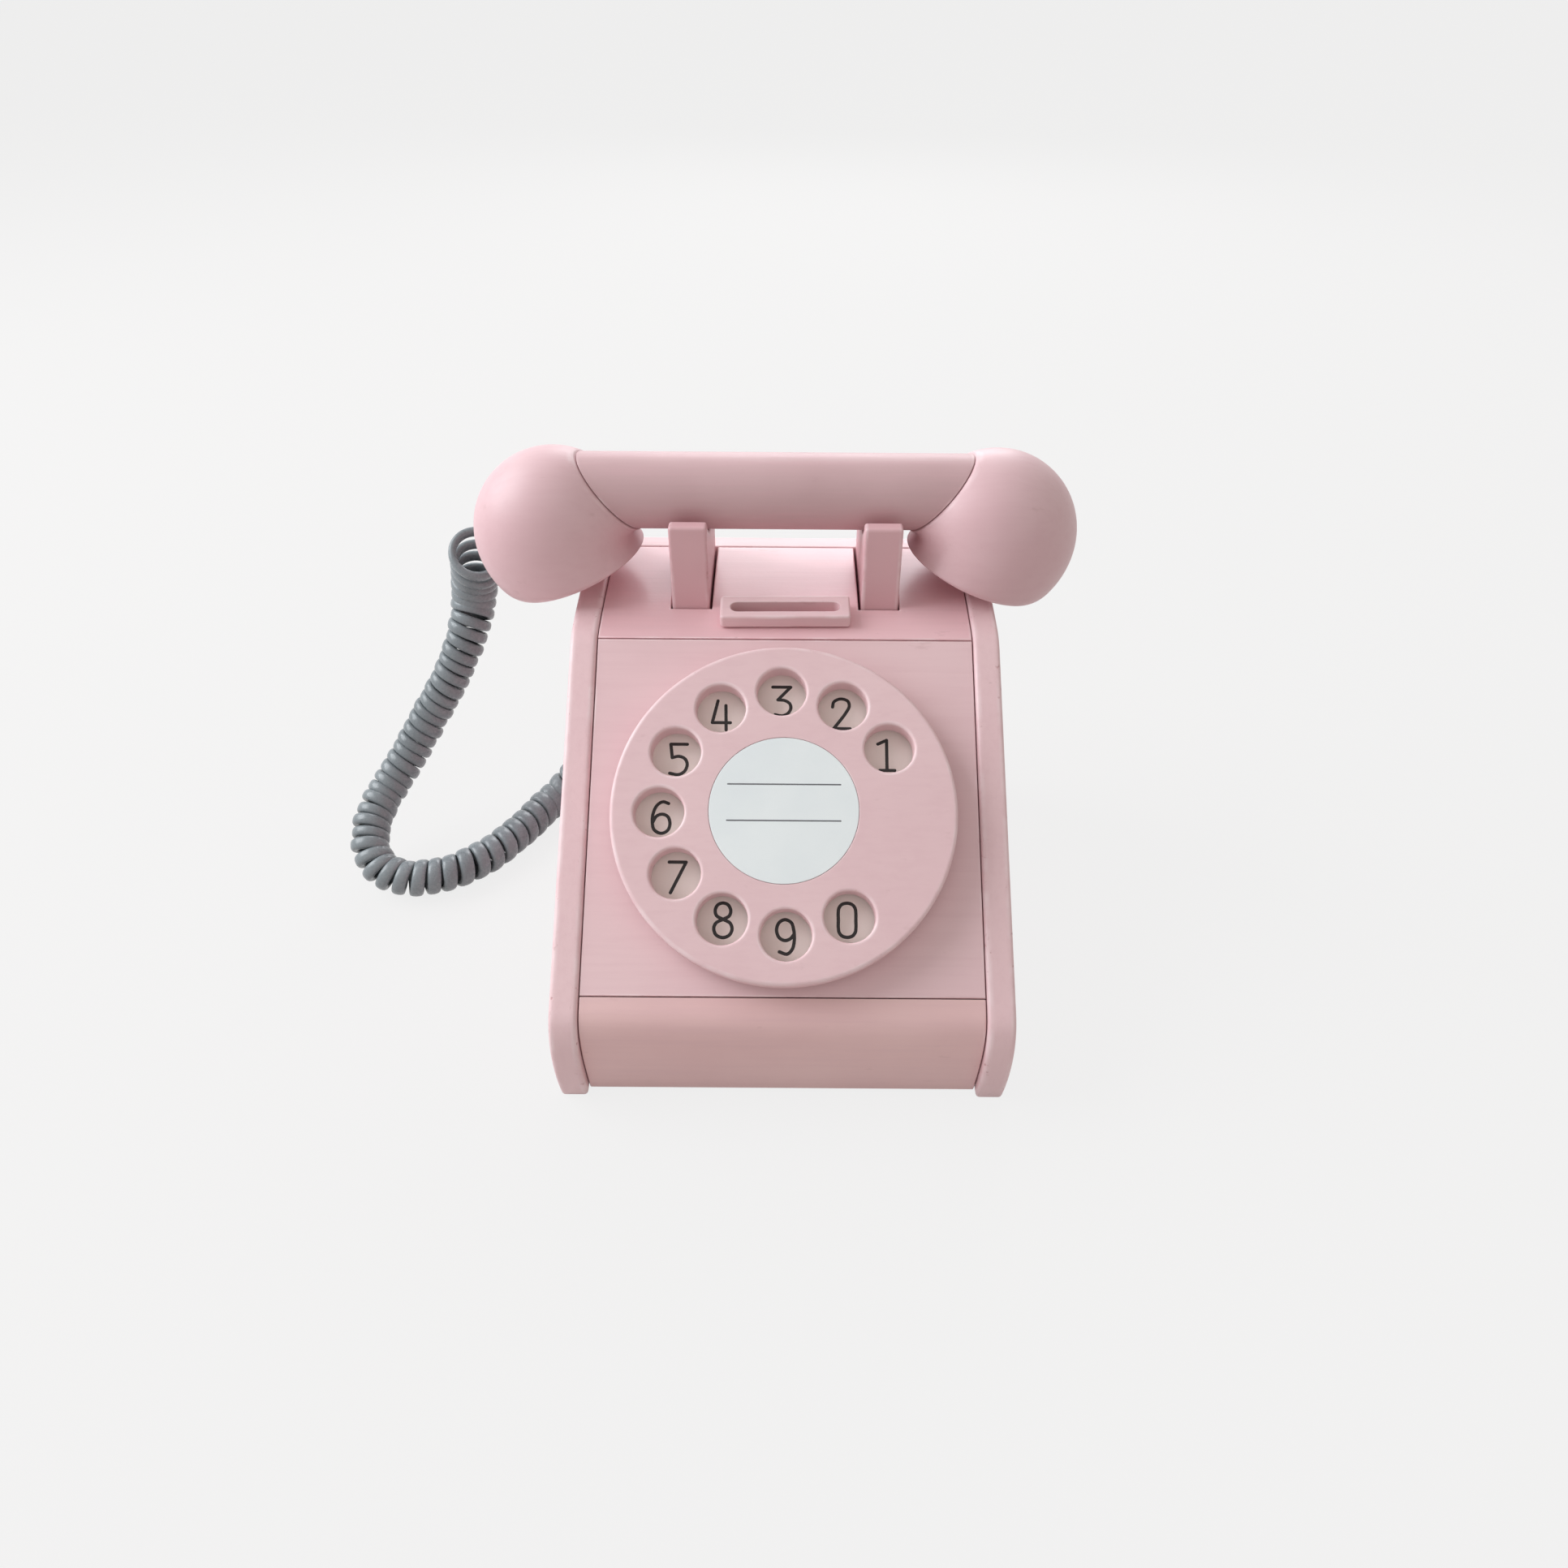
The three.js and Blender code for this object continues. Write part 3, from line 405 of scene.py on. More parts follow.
def board(name, outline, thickness, edge, place, holes=(), cuts=()):
    """Flat piece with rounded rims. Round each outline, rings are drawn in by edge * (1 - sin a)
    at edge * (1 - cos a) from a face while a goes through a quarter turn, and the faces are
    filled between the outlines. A hole is (outline, low, high, edge), so it may stop at a floor.
    Cuts are lines across y, for a board that bends. place() turns (x, y, z) in mm into metres.
    The attribute rim is 1 on the rounded rims."""
    angle = np.linspace(0, math.pi / 2, RIM_STEPS)
    on_rim = np.array([0, *[1] * RIM_STEPS, 0])
    points, faces, rims, levels, first = [], [], [], {0.0, float(thickness)}, 0
    for number, (loop, low, high, edge) in enumerate([(outline, 0, thickness, edge), *holes]):
        # One ring more on the face and one on the wall keep the rim's shading off them.
        drawn = np.array([edge + 0.3, *(edge * (1 - np.sin(angle))), 0])
        rise = np.array([0, *(edge * (1 - np.cos(angle))), edge * 1.6])
        following = np.roll(loop, -1, axis=0)
        area = np.sum(loop[:, 0] * following[:, 1] - following[:, 0] * loop[:, 1])
        if (area < 0) == (number == 0):
            loop = loop[::-1]
        line = unit(np.roll(loop, -1, axis=0) - loop)
        normal = np.stack([-line[:, 1], line[:, 0]], 1)
        before = np.roll(normal, 1, axis=0)
        inward = (normal + before) / (1 + np.sum(normal * before, axis=1, keepdims=True))
        drawn_in, z, rim = np.array([0.0]), np.array([low]), np.array([0.0])
        if low == 0:
            drawn_in, z, rim = drawn, rise, on_rim
        if high == thickness:
            drawn_in, z = np.append(drawn_in, drawn[::-1]), np.append(z, thickness - rise[::-1])
            rim = np.append(rim, on_rim)
        else:
            drawn_in, z, rim = np.append(drawn_in, 0), np.append(z, high), np.append(rim, 0)
        levels |= {float(low), float(high)}
        flat = loop[None] + drawn_in[:, None, None] * inward[None]
        grid = np.concatenate([flat, np.broadcast_to(z[:, None, None], (*flat.shape[:2], 1))], 2)
        index = first + np.arange(grid[..., 0].size).reshape(grid.shape[:2])
        faces += between_rings(index)
        points.append(grid.reshape(-1, 3))
        rims.append(np.repeat(rim, len(loop)))
        first += index.size
    mesh = bpy.data.meshes.new(name)
    mesh.from_pydata(np.concatenate(points), [], faces)
    mark_rims(mesh, np.concatenate(rims))
    work = bmesh.new()
    work.from_mesh(mesh)
    for level in levels:
        rings = [e for e in work.edges if e.is_boundary and abs(e.verts[0].co.z - level) < 1e-4]
        bmesh.ops.triangle_fill(work, use_beauty=True, edges=rings)
    for cut in cuts:
        bmesh.ops.bisect_plane(work, geom=[*work.verts, *work.edges, *work.faces],
                               plane_no=(0, 1, 0), plane_co=(0, cut, 0))
    work.to_mesh(mesh)
    work.free()
    flat = np.empty(len(mesh.vertices) * 3, np.float32)
    mesh.vertices.foreach_get("co", flat)
    mesh.vertices.foreach_set("co", place(*flat.reshape(-1, 3).T.astype(float)).ravel())
    mesh.shade_smooth()
    return facing_out(mesh, BOARD_SHARP)


def case_place(x, depth, height):
    """Metres in the scene from mm in the case: depth is counted from the foot of the front."""
    return np.stack(np.broadcast_arrays(x, depth - CASE_DEPTH / 2, height), -1) / 1000


def pink_paint(name, grain, marks=0.3, low=(230, 195, 199), high=(235, 202, 205), dull=0.33,
               brushed=0.22):
    """Satin pink paint, brushed along the grain: faint streaks drawn out the same way, cloudy
    cover, fine orange peel, paint paler on the rims, partly worn thin and partly a painted
    highlight, with nicks, and a few brown scuffs."""
    material, shader, place = new_finish(name)
    streaks = place.noise(520, 4, 0.6, grain)
    cloud = place.noise(26, 3)
    peel = place.noise(900, 2)
    rim = place.node("Attribute", {"attribute_name": "rim"}, output="Fac")
    nicks = place.noise(330, 3, 0.6).between(0.66, 0.72)
    along_grain = tuple(0.35 + 0.65 * part for part in grain)
    scuffs = place.noise(210, 3, 0.65, along_grain).between(0.68, 0.74)
    cover = cloud.between(0.32, 0.68).blend(rgb(*low), rgb(*high))
    cover = (streaks.between(0.45, 0.75) * brushed).blend(cover, rgb(216, 176, 182))
    # Paler on the rounded rims: partly paint worn thin, partly a painted highlight where the rims
    # catch the light.
    cover = (rim * place.noise(120, 3).between(0.4, 0.62) * 0.4).blend(cover, rgb(246, 226, 228))
    cover = (scuffs * (0.5 * marks)).blend(cover, rgb(168, 124, 122))
    cover = (nicks * rim * marks).blend(cover, rgb(190, 132, 134))
    cover.into(shader, "Base Color")
    (peel * 0.1 + streaks * 0.08 + dull).into(shader, "Roughness")
    relief = streaks * 0.7 + peel * 0.25 - nicks * rim * (3 * marks)
    relief.bump(0.00011, 0.55).into(shader, "Normal")
    return material


upright_paint = pink_paint("pink_paint_side_boards", (1, 1, 0.07), 0.7)
top_end = np.linspace(93, 142, 26)
side_outline = np.vstack([
    bezier([(0, 0), (-1.6, 4.5), (-3.7, 12), (-3.9, 19.5)])[:-1],
    bezier([(-3.9, 19.5), (-4.1, 25.5), face_at(16.3, PROUD), face_at(21.3, PROUD)]),
    bezier([face_at(126.5, PROUD), (88.7, 99.3), (93, crown(93) + PROUD)], 6)[:-1],
    np.stack([top_end, crown(top_end) + PROUD], 1),
    bezier([(142, crown(142) + PROUD), (148, 102.8), (148, 97)], 9)[1:],
    [(148, 0)]])
gland_bore = (circle(GLAND_DEPTH, GLAND_HEIGHT, GLAND_BORE, 40), 0, SIDE_BOARD, 0.5)
for side, sign in (("left", -1), ("right", 1)):
    mesh = board(f"side_board_{side}", side_outline, SIDE_BOARD, BOARD_EDGE,
                 lambda depth, height, out: case_place(sign * (INNER_WIDTH / 2 + out), depth,
                                                       height),
                 [gland_bore] if side == "left" else [])
    add_piece(f"side_board_{side}", mesh, "case", upright_paint, "pink_paint",
              f"side_panel_{side}")

# ---- lower front --------------------------------------------------------------------------
# A bellied board closes the foot of the front, between the side boards. It is planed to its
# curve and glued in.

PANEL_WIDTH = 110
# The foot's paint is a warmer, darker copy of the front's: painted warm shade, as of light bounced
# off the table.
foot_paint_warm_shade = pink_paint("pink_paint_foot_warm_shade", (0.05, 1, 1), 0.3, (229, 189, 189), (234, 196, 195))
level_paint = pink_paint("pink_paint_front", (0.05, 1, 1))
section = np.vstack([
    bezier([(1.9, 1), (0.6, 8), (-1.7, 16), (-1.7, 23.8)])[:-1],
    bezier([(-1.7, 23.8), (-1.7, 28.5), face_at(17.9), face_at(22.4)]),
    [face_at(25.35), face_at(25.35, -9), (9.6, 1)]])
mesh = board("lower_front", section, PANEL_WIDTH, FRONT_PANEL_EDGE,
             lambda depth, height, x: case_place(x - PANEL_WIDTH / 2, depth, height))
add_piece("lower_front", mesh, "case", foot_paint_warm_shade, "pink_paint", "lower_front_panel")

# ---- sloped front -------------------------------------------------------------------------
# A plain board behind the dial, bored in the middle for the dial's bearing.

PANEL, BUSH_BORE, DIAL_ALONG = 8, 5.3, 75.65


def slope_place(x, along, out):
    """Metres in the scene from mm across the sloped front, up it and off it."""
    depth, height = np.moveaxis(face_at(along, out), -1, 0)
    return case_place(x, depth, height)


mesh = board("sloped_front", oblong(-PANEL_WIDTH / 2, 25.65, PANEL_WIDTH / 2, 129.35), PANEL,
             FRONT_PANEL_EDGE, lambda x, along, out: slope_place(x, along, out - PANEL),
             [(circle(0, DIAL_ALONG, BUSH_BORE, 32), 0, PANEL, 0.3)])
add_piece("sloped_front", mesh, "case", level_paint, "pink_paint", "front_panel")

# ---- top board ----------------------------------------------------------------------------
# Crowned a little, with two notches that the forks rise through and a pocket under the card
# slot. It lies between the side boards, and its front edge meets the sloped front's.

TOP_FRONT, TOP_REAR, TOP_UNDERSIDE, STRIP_REAR = 129.65, 139.4, 92, 91.5
STRIP_FALL, STRIP_DEPTH, LEAN_FADES = 0.34, 3.08, 8
NOTCH_X, NOTCH_HALF, NOTCH_FRONT = 28.3, 6.2, 101.6
CARD_SLOT_WIDTH, CARD_SLOT_GAP, CARD_SLOT_FORWARD, CARD_SLOT_CORNER = 32.6, 4.5, 0.25, 2.2
POCKET_DEPTH = 4
HOLDER_MIDDLE = 97.55
front_top, front_low = face_at(TOP_FRONT), face_at(TOP_FRONT, -7.8)
top_thickness = CROWN_HEIGHT - TOP_UNDERSIDE
notch = np.array([(NOTCH_X + NOTCH_HALF, TOP_REAR), (NOTCH_X + NOTCH_HALF, NOTCH_FRONT),
                  (NOTCH_X - NOTCH_HALF, NOTCH_FRONT), (NOTCH_X - NOTCH_HALF, TOP_REAR)])
outline = np.vstack([[(-PANEL_WIDTH / 2, front_top[0]), (PANEL_WIDTH / 2, front_top[0]),
                      (PANEL_WIDTH / 2, TOP_REAR)], notch, (notch * [-1, 1])[::-1],
                     [(-PANEL_WIDTH / 2, TOP_REAR)]])


def top_place(x, depth, up):
    """The flat board's faces bent: its top to the crown, with a steeper strip at the front, its
    underside level, and its front edge mitred to the sloped front."""
    part = up / top_thickness
    high = crown(depth) - STRIP_FALL * ((STRIP_REAR - depth) / STRIP_DEPTH).clip(0, 1)
    near_front = (1 - (depth - front_top[0]) / LEAN_FADES).clip(0, 1)
    lean = (front_low[0] - front_top[0]) * (1 - part) * near_front
    return case_place(x, depth + lean, TOP_UNDERSIDE + part * (high - TOP_UNDERSIDE))


pocket = oblong(-CARD_SLOT_WIDTH / 2, HOLDER_MIDDLE - CARD_SLOT_FORWARD - CARD_SLOT_GAP / 2,
                CARD_SLOT_WIDTH / 2, HOLDER_MIDDLE - CARD_SLOT_FORWARD + CARD_SLOT_GAP / 2,
                CARD_SLOT_CORNER)
mesh = board("top_board", outline, top_thickness, FRONT_PANEL_EDGE, top_place,
             [(pocket, top_thickness - POCKET_DEPTH, top_thickness, 0.2)],
             [STRIP_REAR, *range(94, 139, 3)])
# A deeper pink than the other boards' paint: painted saturated shade, as of pink light bounced
# between the parts.
crown_paint_shaded = pink_paint("pink_paint_crown_shaded", (0.05, 1, 1), 0.3, (231, 186, 192),
                         (237, 195, 200), 0.24)
add_piece("top_board", mesh, "case", crown_paint_shaded, "pink_paint", "top_panel")

# ---- card holder --------------------------------------------------------------------------
# A small block with a slot for a number card, rounded over and glued on the crown a little out
# of square.

HOLDER_WIDTH, HOLDER_LENGTH, HOLDER_HEIGHT, HOLDER_EDGE = 38.6, 10.4, 4.1, 0.7
HOLDER_TURN = math.radians(0.8)
holder_tilt = math.atan(2 * (CROWN_DEPTH - HOLDER_MIDDLE) / CROWN_FLATNESS)


def holder_place(x, y, z):
    """The block's own mm turned by its skew and tilted with the crown that it is glued on."""
    x, y = (x * math.cos(HOLDER_TURN) - y * math.sin(HOLDER_TURN),
            x * math.sin(HOLDER_TURN) + y * math.cos(HOLDER_TURN))
    z = z + SEAM
    return case_place(x, HOLDER_MIDDLE + y * math.cos(holder_tilt) - z * math.sin(holder_tilt),
                      crown(HOLDER_MIDDLE) + y * math.sin(holder_tilt) + z * math.cos(holder_tilt))


mesh = board("card_block", oblong(-HOLDER_WIDTH / 2, -HOLDER_LENGTH / 2, HOLDER_WIDTH / 2,
                                  HOLDER_LENGTH / 2, 1.2), HOLDER_HEIGHT, HOLDER_EDGE, holder_place,
             [(oblong(-CARD_SLOT_WIDTH / 2, -CARD_SLOT_FORWARD - CARD_SLOT_GAP / 2,
                      CARD_SLOT_WIDTH / 2, CARD_SLOT_GAP / 2 - CARD_SLOT_FORWARD,
                      CARD_SLOT_CORNER), 0, HOLDER_HEIGHT, 0.25)])
add_piece("card_block", mesh, "case", level_paint, "pink_paint", "card_holder")

# ---- back board ---------------------------------------------------------------------------
# Closes the back between the side boards; its top edge is planed level with the crown.

BACK_FRONT, BACK_REAR, BACK_FOOT, BACK_EDGE = 139.7, 147.4, 0.6, 0.6
BACK_TOP = crown(BACK_FRONT) + 0.1


def back_place(x, height, out):
    """The flat board in its place, the points of its top edge lowered as the crown falls."""
    fall = crown(BACK_FRONT + out) - crown(BACK_FRONT)
    return case_place(x, BACK_FRONT + out, height + (height > BACK_TOP / 2) * fall)


mesh = board("back_board", oblong(-PANEL_WIDTH / 2, BACK_FOOT, PANEL_WIDTH / 2, BACK_TOP),
             BACK_REAR - BACK_FRONT, BACK_EDGE, back_place)
add_piece("back_board", mesh, "case", level_paint, "pink_paint", "back_panel")

# ---- number plate -------------------------------------------------------------------------
# A pale printed card glued to the sloped front under the dial. Its digits are read through the
# finger holes and don't turn with the dial.

PLATE_RADIUS, PLATE_FACE, PLATE_HOLE = 44, 1.3, 7.3
FINGER_RING, FINGER_HOLE, FIRST_HOLE = 34.35, 7, math.radians(1.4)
DIGIT_LINE, STROKE_STEP = 0.94, 0.22

card, shader, place = new_finish("pale_card")
speckle = place.noise(1500, 2)
place.noise(40).between(0.35, 0.65).blend(rgb(245, 238, 231), rgb(249, 243, 236)).into(
    shader, "Base Color")
(speckle * 0.1 + 0.5).into(shader, "Roughness")
speckle.bump(0.00003, 0.5).into(shader, "Normal")
mesh = board("digit_card", circle(0, DIAL_ALONG, PLATE_RADIUS, 120), PLATE_FACE - SEAM, 0.2,
             lambda x, along, out: slope_place(x, along, out + SEAM),
             [(circle(0, DIAL_ALONG, PLATE_HOLE, 40), 0, PLATE_FACE - SEAM, 0.2)])
add_piece("digit_card", mesh, "case", card, "pale_card", "number_plate")


def stroke(path, line, thick=0.06):
    """Printed line along a path in a plane: a flat oval section, whose size falls off over the
    last half width as a half circle's does, so the ends are round."""
    path = np.asarray(path, float)
    path, = evenly(max(2, int(length_along(path)[-1] / STROKE_STEP)), path)
    ahead = unit(np.gradient(path, axis=0))
    past = np.sin(np.linspace(0, math.pi / 2, 6)[1:-1]) * line / 2
    rows = np.vstack([path[0] - past[::-1, None] * ahead[0], path,
                      path[-1] + past[:, None] * ahead[-1]])
    turned = np.vstack([np.repeat(ahead[:1], len(past), 0), ahead,
                        np.repeat(ahead[-1:], len(past), 0)])
    size = np.concatenate([np.sqrt(1 - (2 * past[::-1] / line) ** 2), np.ones(len(path)),
                           np.sqrt(1 - (2 * past / line) ** 2)])[:, None]
    turn = np.linspace(0, 2 * math.pi, 8, endpoint=False)[None]
    wide = size * line / 2 * np.cos(turn)
    return np.stack([rows[:, :1] - turned[:, 1:] * wide, rows[:, 1:] + turned[:, :1] * wide,
                     size * thick / 2 * np.sin(turn)], -1)


DIGITS = [                                  # strokes of each digit in mm, 1 to 9 and then 0
    [[(-2.6, 3.5), (-0.1, 4.65)], [(-0.1, 4.65), (-0.1, -4.3)], [(-2.1, -4.3), (2.1, -4.3)]],
    [[(-2.6, 2.3), (-2.2, 3.9), (-0.2, 4.8), (1.8, 4.1), (2.2, 2.6), (1.1, 0.4), (-2.3, -4.2)],
     [(-2.3, -4.2), (2.4, -4.2)]],
    [[(-2.6, 4.1), (2.6, 4.1)], [(2.6, 4.1), (-1.1, 0.2)],
     [(-1.1, 0.2), (0.9, 0), (2.3, -0.9), (2.65, -2.3), (1.8, -3.9), (0.2, -4.6), (-1.9, -4.3)]],
    [[(-1.3, 4.8), (-2.8, -1.8)], [(-2.8, -1.8), (2.4, -1.8)], [(1, 3.4), (1.2, -4)]],
    [[(2.5, 4.5), (-2.2, 4.5)], [(-2.2, 4.5), (-1.7, 0.5)],
     [(-1.7, 0.5), (0.2, 0.9), (1.9, 0.2), (2.6, -1.4), (2, -3.4), (0.2, -4.5), (-2.3, -4.1)]],
    [[(1.9, 4.3), (0.3, 4.8), (-1.3, 3.8), (-2.3, 1.6), (-2.5, -1), (-1.9, -3.3), (0.1, -4.3),
      (1.9, -3.4), (2.45, -1.5), (1.8, 0.5), (0.2, 1.2), (-1.4, 0.6), (-2.4, -1.2)]],
    [[(-2.4, 4.6), (2.3, 4.6)], [(2.3, 4.6), (-1.8, -4)]],
    [[(0, 1), (1.7, 2), (2.05, 3.5), (1.3, 5), (-0.1, 5.5), (-1.5, 5), (-2.2, 3.5), (-1.8, 2),
      (0, 1), (1.9, 0), (2.5, -1.6), (1.8, -3.3), (0, -4), (-1.8, -3.3), (-2.5, -1.6), (-1.9, 0),
      (0, 1)]],
    [[(2.1, 1.1), (1.2, 0), (-0.3, -0.5), (-1.9, 0.3), (-2.6, 2.4), (-1.9, 4.4), (-0.3, 5.2),
      (1.4, 4.4), (2.1, 2.4), (2.25, -0.6), (1.7, -2.9), (0.3, -4.2), (-1.8, -3.6)]],
    [[(2.05, 0.1), (2.05, 2.4), (1.85, 3.5), (1.1, 4.45), (-0.35, 4.85), (-1.8, 4.45), (-2.55, 3.5),
      (-2.75, 2.4), (-2.75, 0.1), (-2.75, -2.1), (-2.55, -3.2), (-1.8, -4.15), (-0.35, -4.55),
      (1.1, -4.15), (1.85, -3.2), (2.05, -2.1), (2.05, 0.1)]],
]
grids = []
for number, strokes in enumerate(DIGITS, 1):
    angle = FIRST_HOLE + number * math.pi / 6
    for points in strokes:
        path = smooth_path(points, 12) if len(points) > 2 else points
        x, y, z = np.moveaxis(stroke(path, DIGIT_LINE), -1, 0)
        grids.append(slope_place(x + FINGER_RING * math.cos(angle),
                                 y + DIAL_ALONG + FINGER_RING * math.sin(angle), z + PLATE_FACE))
ink, shader, place = new_finish("brown_black_ink")
place.noise(300).blend(rgb(22, 15, 13), rgb(34, 26, 23)).into(shader, "Base Color")
shader.inputs["Roughness"].default_value = 0.45
add_piece("digits", facing_out(grid_mesh("digits", *grids)), "case", ink, "pale_card")

# ---- dial ---------------------------------------------------------------------------------
# A thick disc of board with ten bored finger holes, its rims rounded over, and a shallow recess
# for the label. It turns on the bolt under the label.

DIAL_RADIUS, DIAL_BACK, DIAL_FACE, DIAL_EDGE = 47.9, 2.6, 9.1, 1
LABEL_RADIUS, LABEL_THICKNESS, LABEL_ROOM, LABEL_GLUE = 20.65, 0.4, 0.15, 0.05
HEAD_BORE = 6.4                                      # for the head of the bolt
dial_paint = pink_paint("pink_paint_dial", (0.3, 1, 1), 0.2)
dial_thickness = DIAL_FACE - DIAL_BACK
label_floor = dial_thickness - LABEL_THICKNESS - LABEL_GLUE
hole_angles = FIRST_HOLE + np.arange(1, 11) * math.pi / 6
finger_holes = [(circle(FINGER_RING * math.cos(angle), DIAL_ALONG + FINGER_RING * math.sin(angle),
                        FINGER_HOLE, 56), 0, dial_thickness, 0.75) for angle in hole_angles]
mesh = board("dial_disc", circle(0, DIAL_ALONG, DIAL_RADIUS, 200), dial_thickness, DIAL_EDGE,
             lambda x, along, out: slope_place(x, along, out + DIAL_BACK),
             [*finger_holes, (circle(0, DIAL_ALONG, LABEL_RADIUS + LABEL_ROOM, 96), label_floor,
                              dial_thickness, 0.12),
              (circle(0, DIAL_ALONG, HEAD_BORE, 32), 0, label_floor, 0.3)])
add_piece("dial_disc", mesh, "dial", dial_paint, "pink_paint", "dial_plate")

# ---- label --------------------------------------------------------------------------------
# A round of cool white paper let into the dial, with two ruled grey lines and nothing written.

LABEL_LINES = [[(-15.5, 7.2), (15.6, 7.2)], [(-15.6, -3.1), (15.6, -3.1)]]
paper, shader, place = new_finish("white_paper")
fibres = place.noise(1800, 3, 0.6, (0.5, 1, 1))
place.noise(60).between(0.3, 0.7).blend(rgb(233, 239, 241), rgb(239, 244, 245)).into(
    shader, "Base Color")
(fibres * 0.12 + 0.48).into(shader, "Roughness")
fibres.bump(0.00002, 0.6).into(shader, "Normal")
mesh = board("label", circle(0, DIAL_ALONG, LABEL_RADIUS, 96), LABEL_THICKNESS, 0.07,
             lambda x, along, out: slope_place(x, along, out + DIAL_FACE - LABEL_THICKNESS))
add_piece("label", mesh, "dial", paper, "label_paper", "dial_label")

grey_ink, shader, place = new_finish("grey_ink")
place.noise(400).blend(rgb(96, 97, 101), rgb(112, 113, 117)).into(shader, "Base Color")
shader.inputs["Roughness"].default_value = 0.6
grids = []
for line in LABEL_LINES:
    x, y, z = np.moveaxis(stroke(line, 0.42, 0.04), -1, 0)
    grids.append(slope_place(x, y + DIAL_ALONG, z + DIAL_FACE))
add_piece("label_lines", facing_out(grid_mesh("label_lines", *grids)), "dial", grey_ink,
          "label_paper")

# ---- inside the case ----------------------------------------------------------------------
# The dial's bearing and click spring, the springs under the forks, the floor with its glued
# blocks and screws, and the handset's dowels: sanded wood, zinc plated steel and natural nylon.

bare_wood, shader, place = new_finish("sanded_wood")
rings = place.noise(160, 4, 0.6, (0.08, 1, 1))
rings.between(0.35, 0.65).blend(rgb(205, 176, 134), rgb(224, 200, 160)).into(shader, "Base Color")
(rings * 0.15 + 0.6).into(shader, "Roughness")
rings.bump(0.0001, 0.5).into(shader, "Normal")
floor_paint = pink_paint("pink_paint_floor", (0.05, 1, 1))
zinc, shader, place = new_finish("zinc_plated_steel")
spangle = place.noise(500, 2)
spangle.between(0.3, 0.7).blend(rgb(176, 179, 183), rgb(196, 199, 203)).into(shader, "Base Color")
shader.inputs["Metallic"].default_value = 1
(spangle * 0.2 + 0.22).into(shader, "Roughness")
nylon, shader, place = new_finish("natural_nylon")
frost = place.noise(1200, 2)
frost.blend(rgb(226, 223, 212), rgb(236, 233, 224)).into(shader, "Base Color")
(frost * 0.1 + 0.36).into(shader, "Roughness")
frost.bump(0.00003, 0.5).into(shader, "Normal")
corners = ("front_left", "front_right", "rear_left", "rear_right")
finishes = {
    bare_wood: [*(f"glue_block_{corner}" for corner in corners), "reed_block", "spring_shelf",
                "cross_bar", "guide_pin_left", "guide_pin_right", "dowel_left", "dowel_right"],
    floor_paint: ["bottom_board"],
    zinc: [*(f"floor_screw_{corner}" for corner in corners), "click_reed", "axle_bolt",
           "back_washer", "lock_nut", "hook_spring_left", "hook_spring_right"],
    nylon: ["axle_bush", "thrust_washer", "click_wheel"],
}
for finish, names in finishes.items():
    for name in names:
        cad[name].data.materials.clear()
        cad[name].data.materials.append(finish)

# ---- forks --------------------------------------------------------------------------------
# Two flat posts rise through the notches, sprung from below. Each has a wide round seat for the
# handset, a lip in front of it and one behind; they are painted with the case, their tone made
# darker and deeper pink as painted shade.

FORK_X, FORK_WIDTH, FORK_FRONT, FORK_REAR = 28.5, 11.2, 102, 139
FORK_TOP, FORK_LIP, FORK_FOOT, FORK_SHOULDER = 126.75, 4, 72.3, 3.5
FORK_EDGE, FORK_TIP, SHOULDER_TOP = 0.8, 1.2, 87.7
BAR_RADIUS, BAR_DEPTH, BAR_HEIGHT = 11.2, 121.1, 129.9
seat_low = BAR_HEIGHT - BAR_RADIUS - SEAM
seat_deep, seat_half = FORK_TOP - seat_low, BAR_DEPTH - FORK_FRONT - FORK_LIP
seat_radius = (seat_half ** 2 + seat_deep ** 2) / (2 * seat_deep)
dip = math.asin(1 - seat_deep / seat_radius)
swing = np.linspace(-dip, dip - math.pi, 34)
# Darker and deeper pink than the case's paint: painted shade on the posts.
post_paint_shaded = pink_paint("pink_paint_forks_shaded", (1, 1, 0.08), 0.4, (213, 167, 173), (221, 177, 182))
fork_outline = np.vstack([
    [(FORK_FRONT - FORK_SHOULDER, FORK_FOOT), (FORK_REAR, FORK_FOOT)],
    bezier([(FORK_REAR, FORK_TOP - FORK_TIP), (FORK_REAR, FORK_TOP),
            (FORK_REAR - FORK_TIP, FORK_TOP)], 5),
    np.stack([BAR_DEPTH + seat_radius * np.cos(swing),
              seat_low + seat_radius + seat_radius * np.sin(swing)], 1),
    bezier([(FORK_FRONT + FORK_TIP, FORK_TOP), (FORK_FRONT, FORK_TOP),
            (FORK_FRONT, FORK_TOP - FORK_TIP)], 5),
    [(FORK_FRONT, SHOULDER_TOP), (FORK_FRONT - FORK_SHOULDER, SHOULDER_TOP)]])
for side, sign in (("left", -1), ("right", 1)):
    mesh = board(f"post_{side}", fork_outline, FORK_WIDTH, FORK_EDGE,
                 lambda depth, height, out: case_place(sign * FORK_X - FORK_WIDTH / 2 + out, depth,
                                                       height))
    add_piece(f"post_{side}", mesh, "cradle", post_paint_shaded, "pink_paint", f"fork_{side}")

# ---- handset ------------------------------------------------------------------------------
# A turned bar mitred and dowelled to two turned cups that swell to their rims and tilt in at
# the ends. It was painted after gluing, so a fine line shows at each mitre.

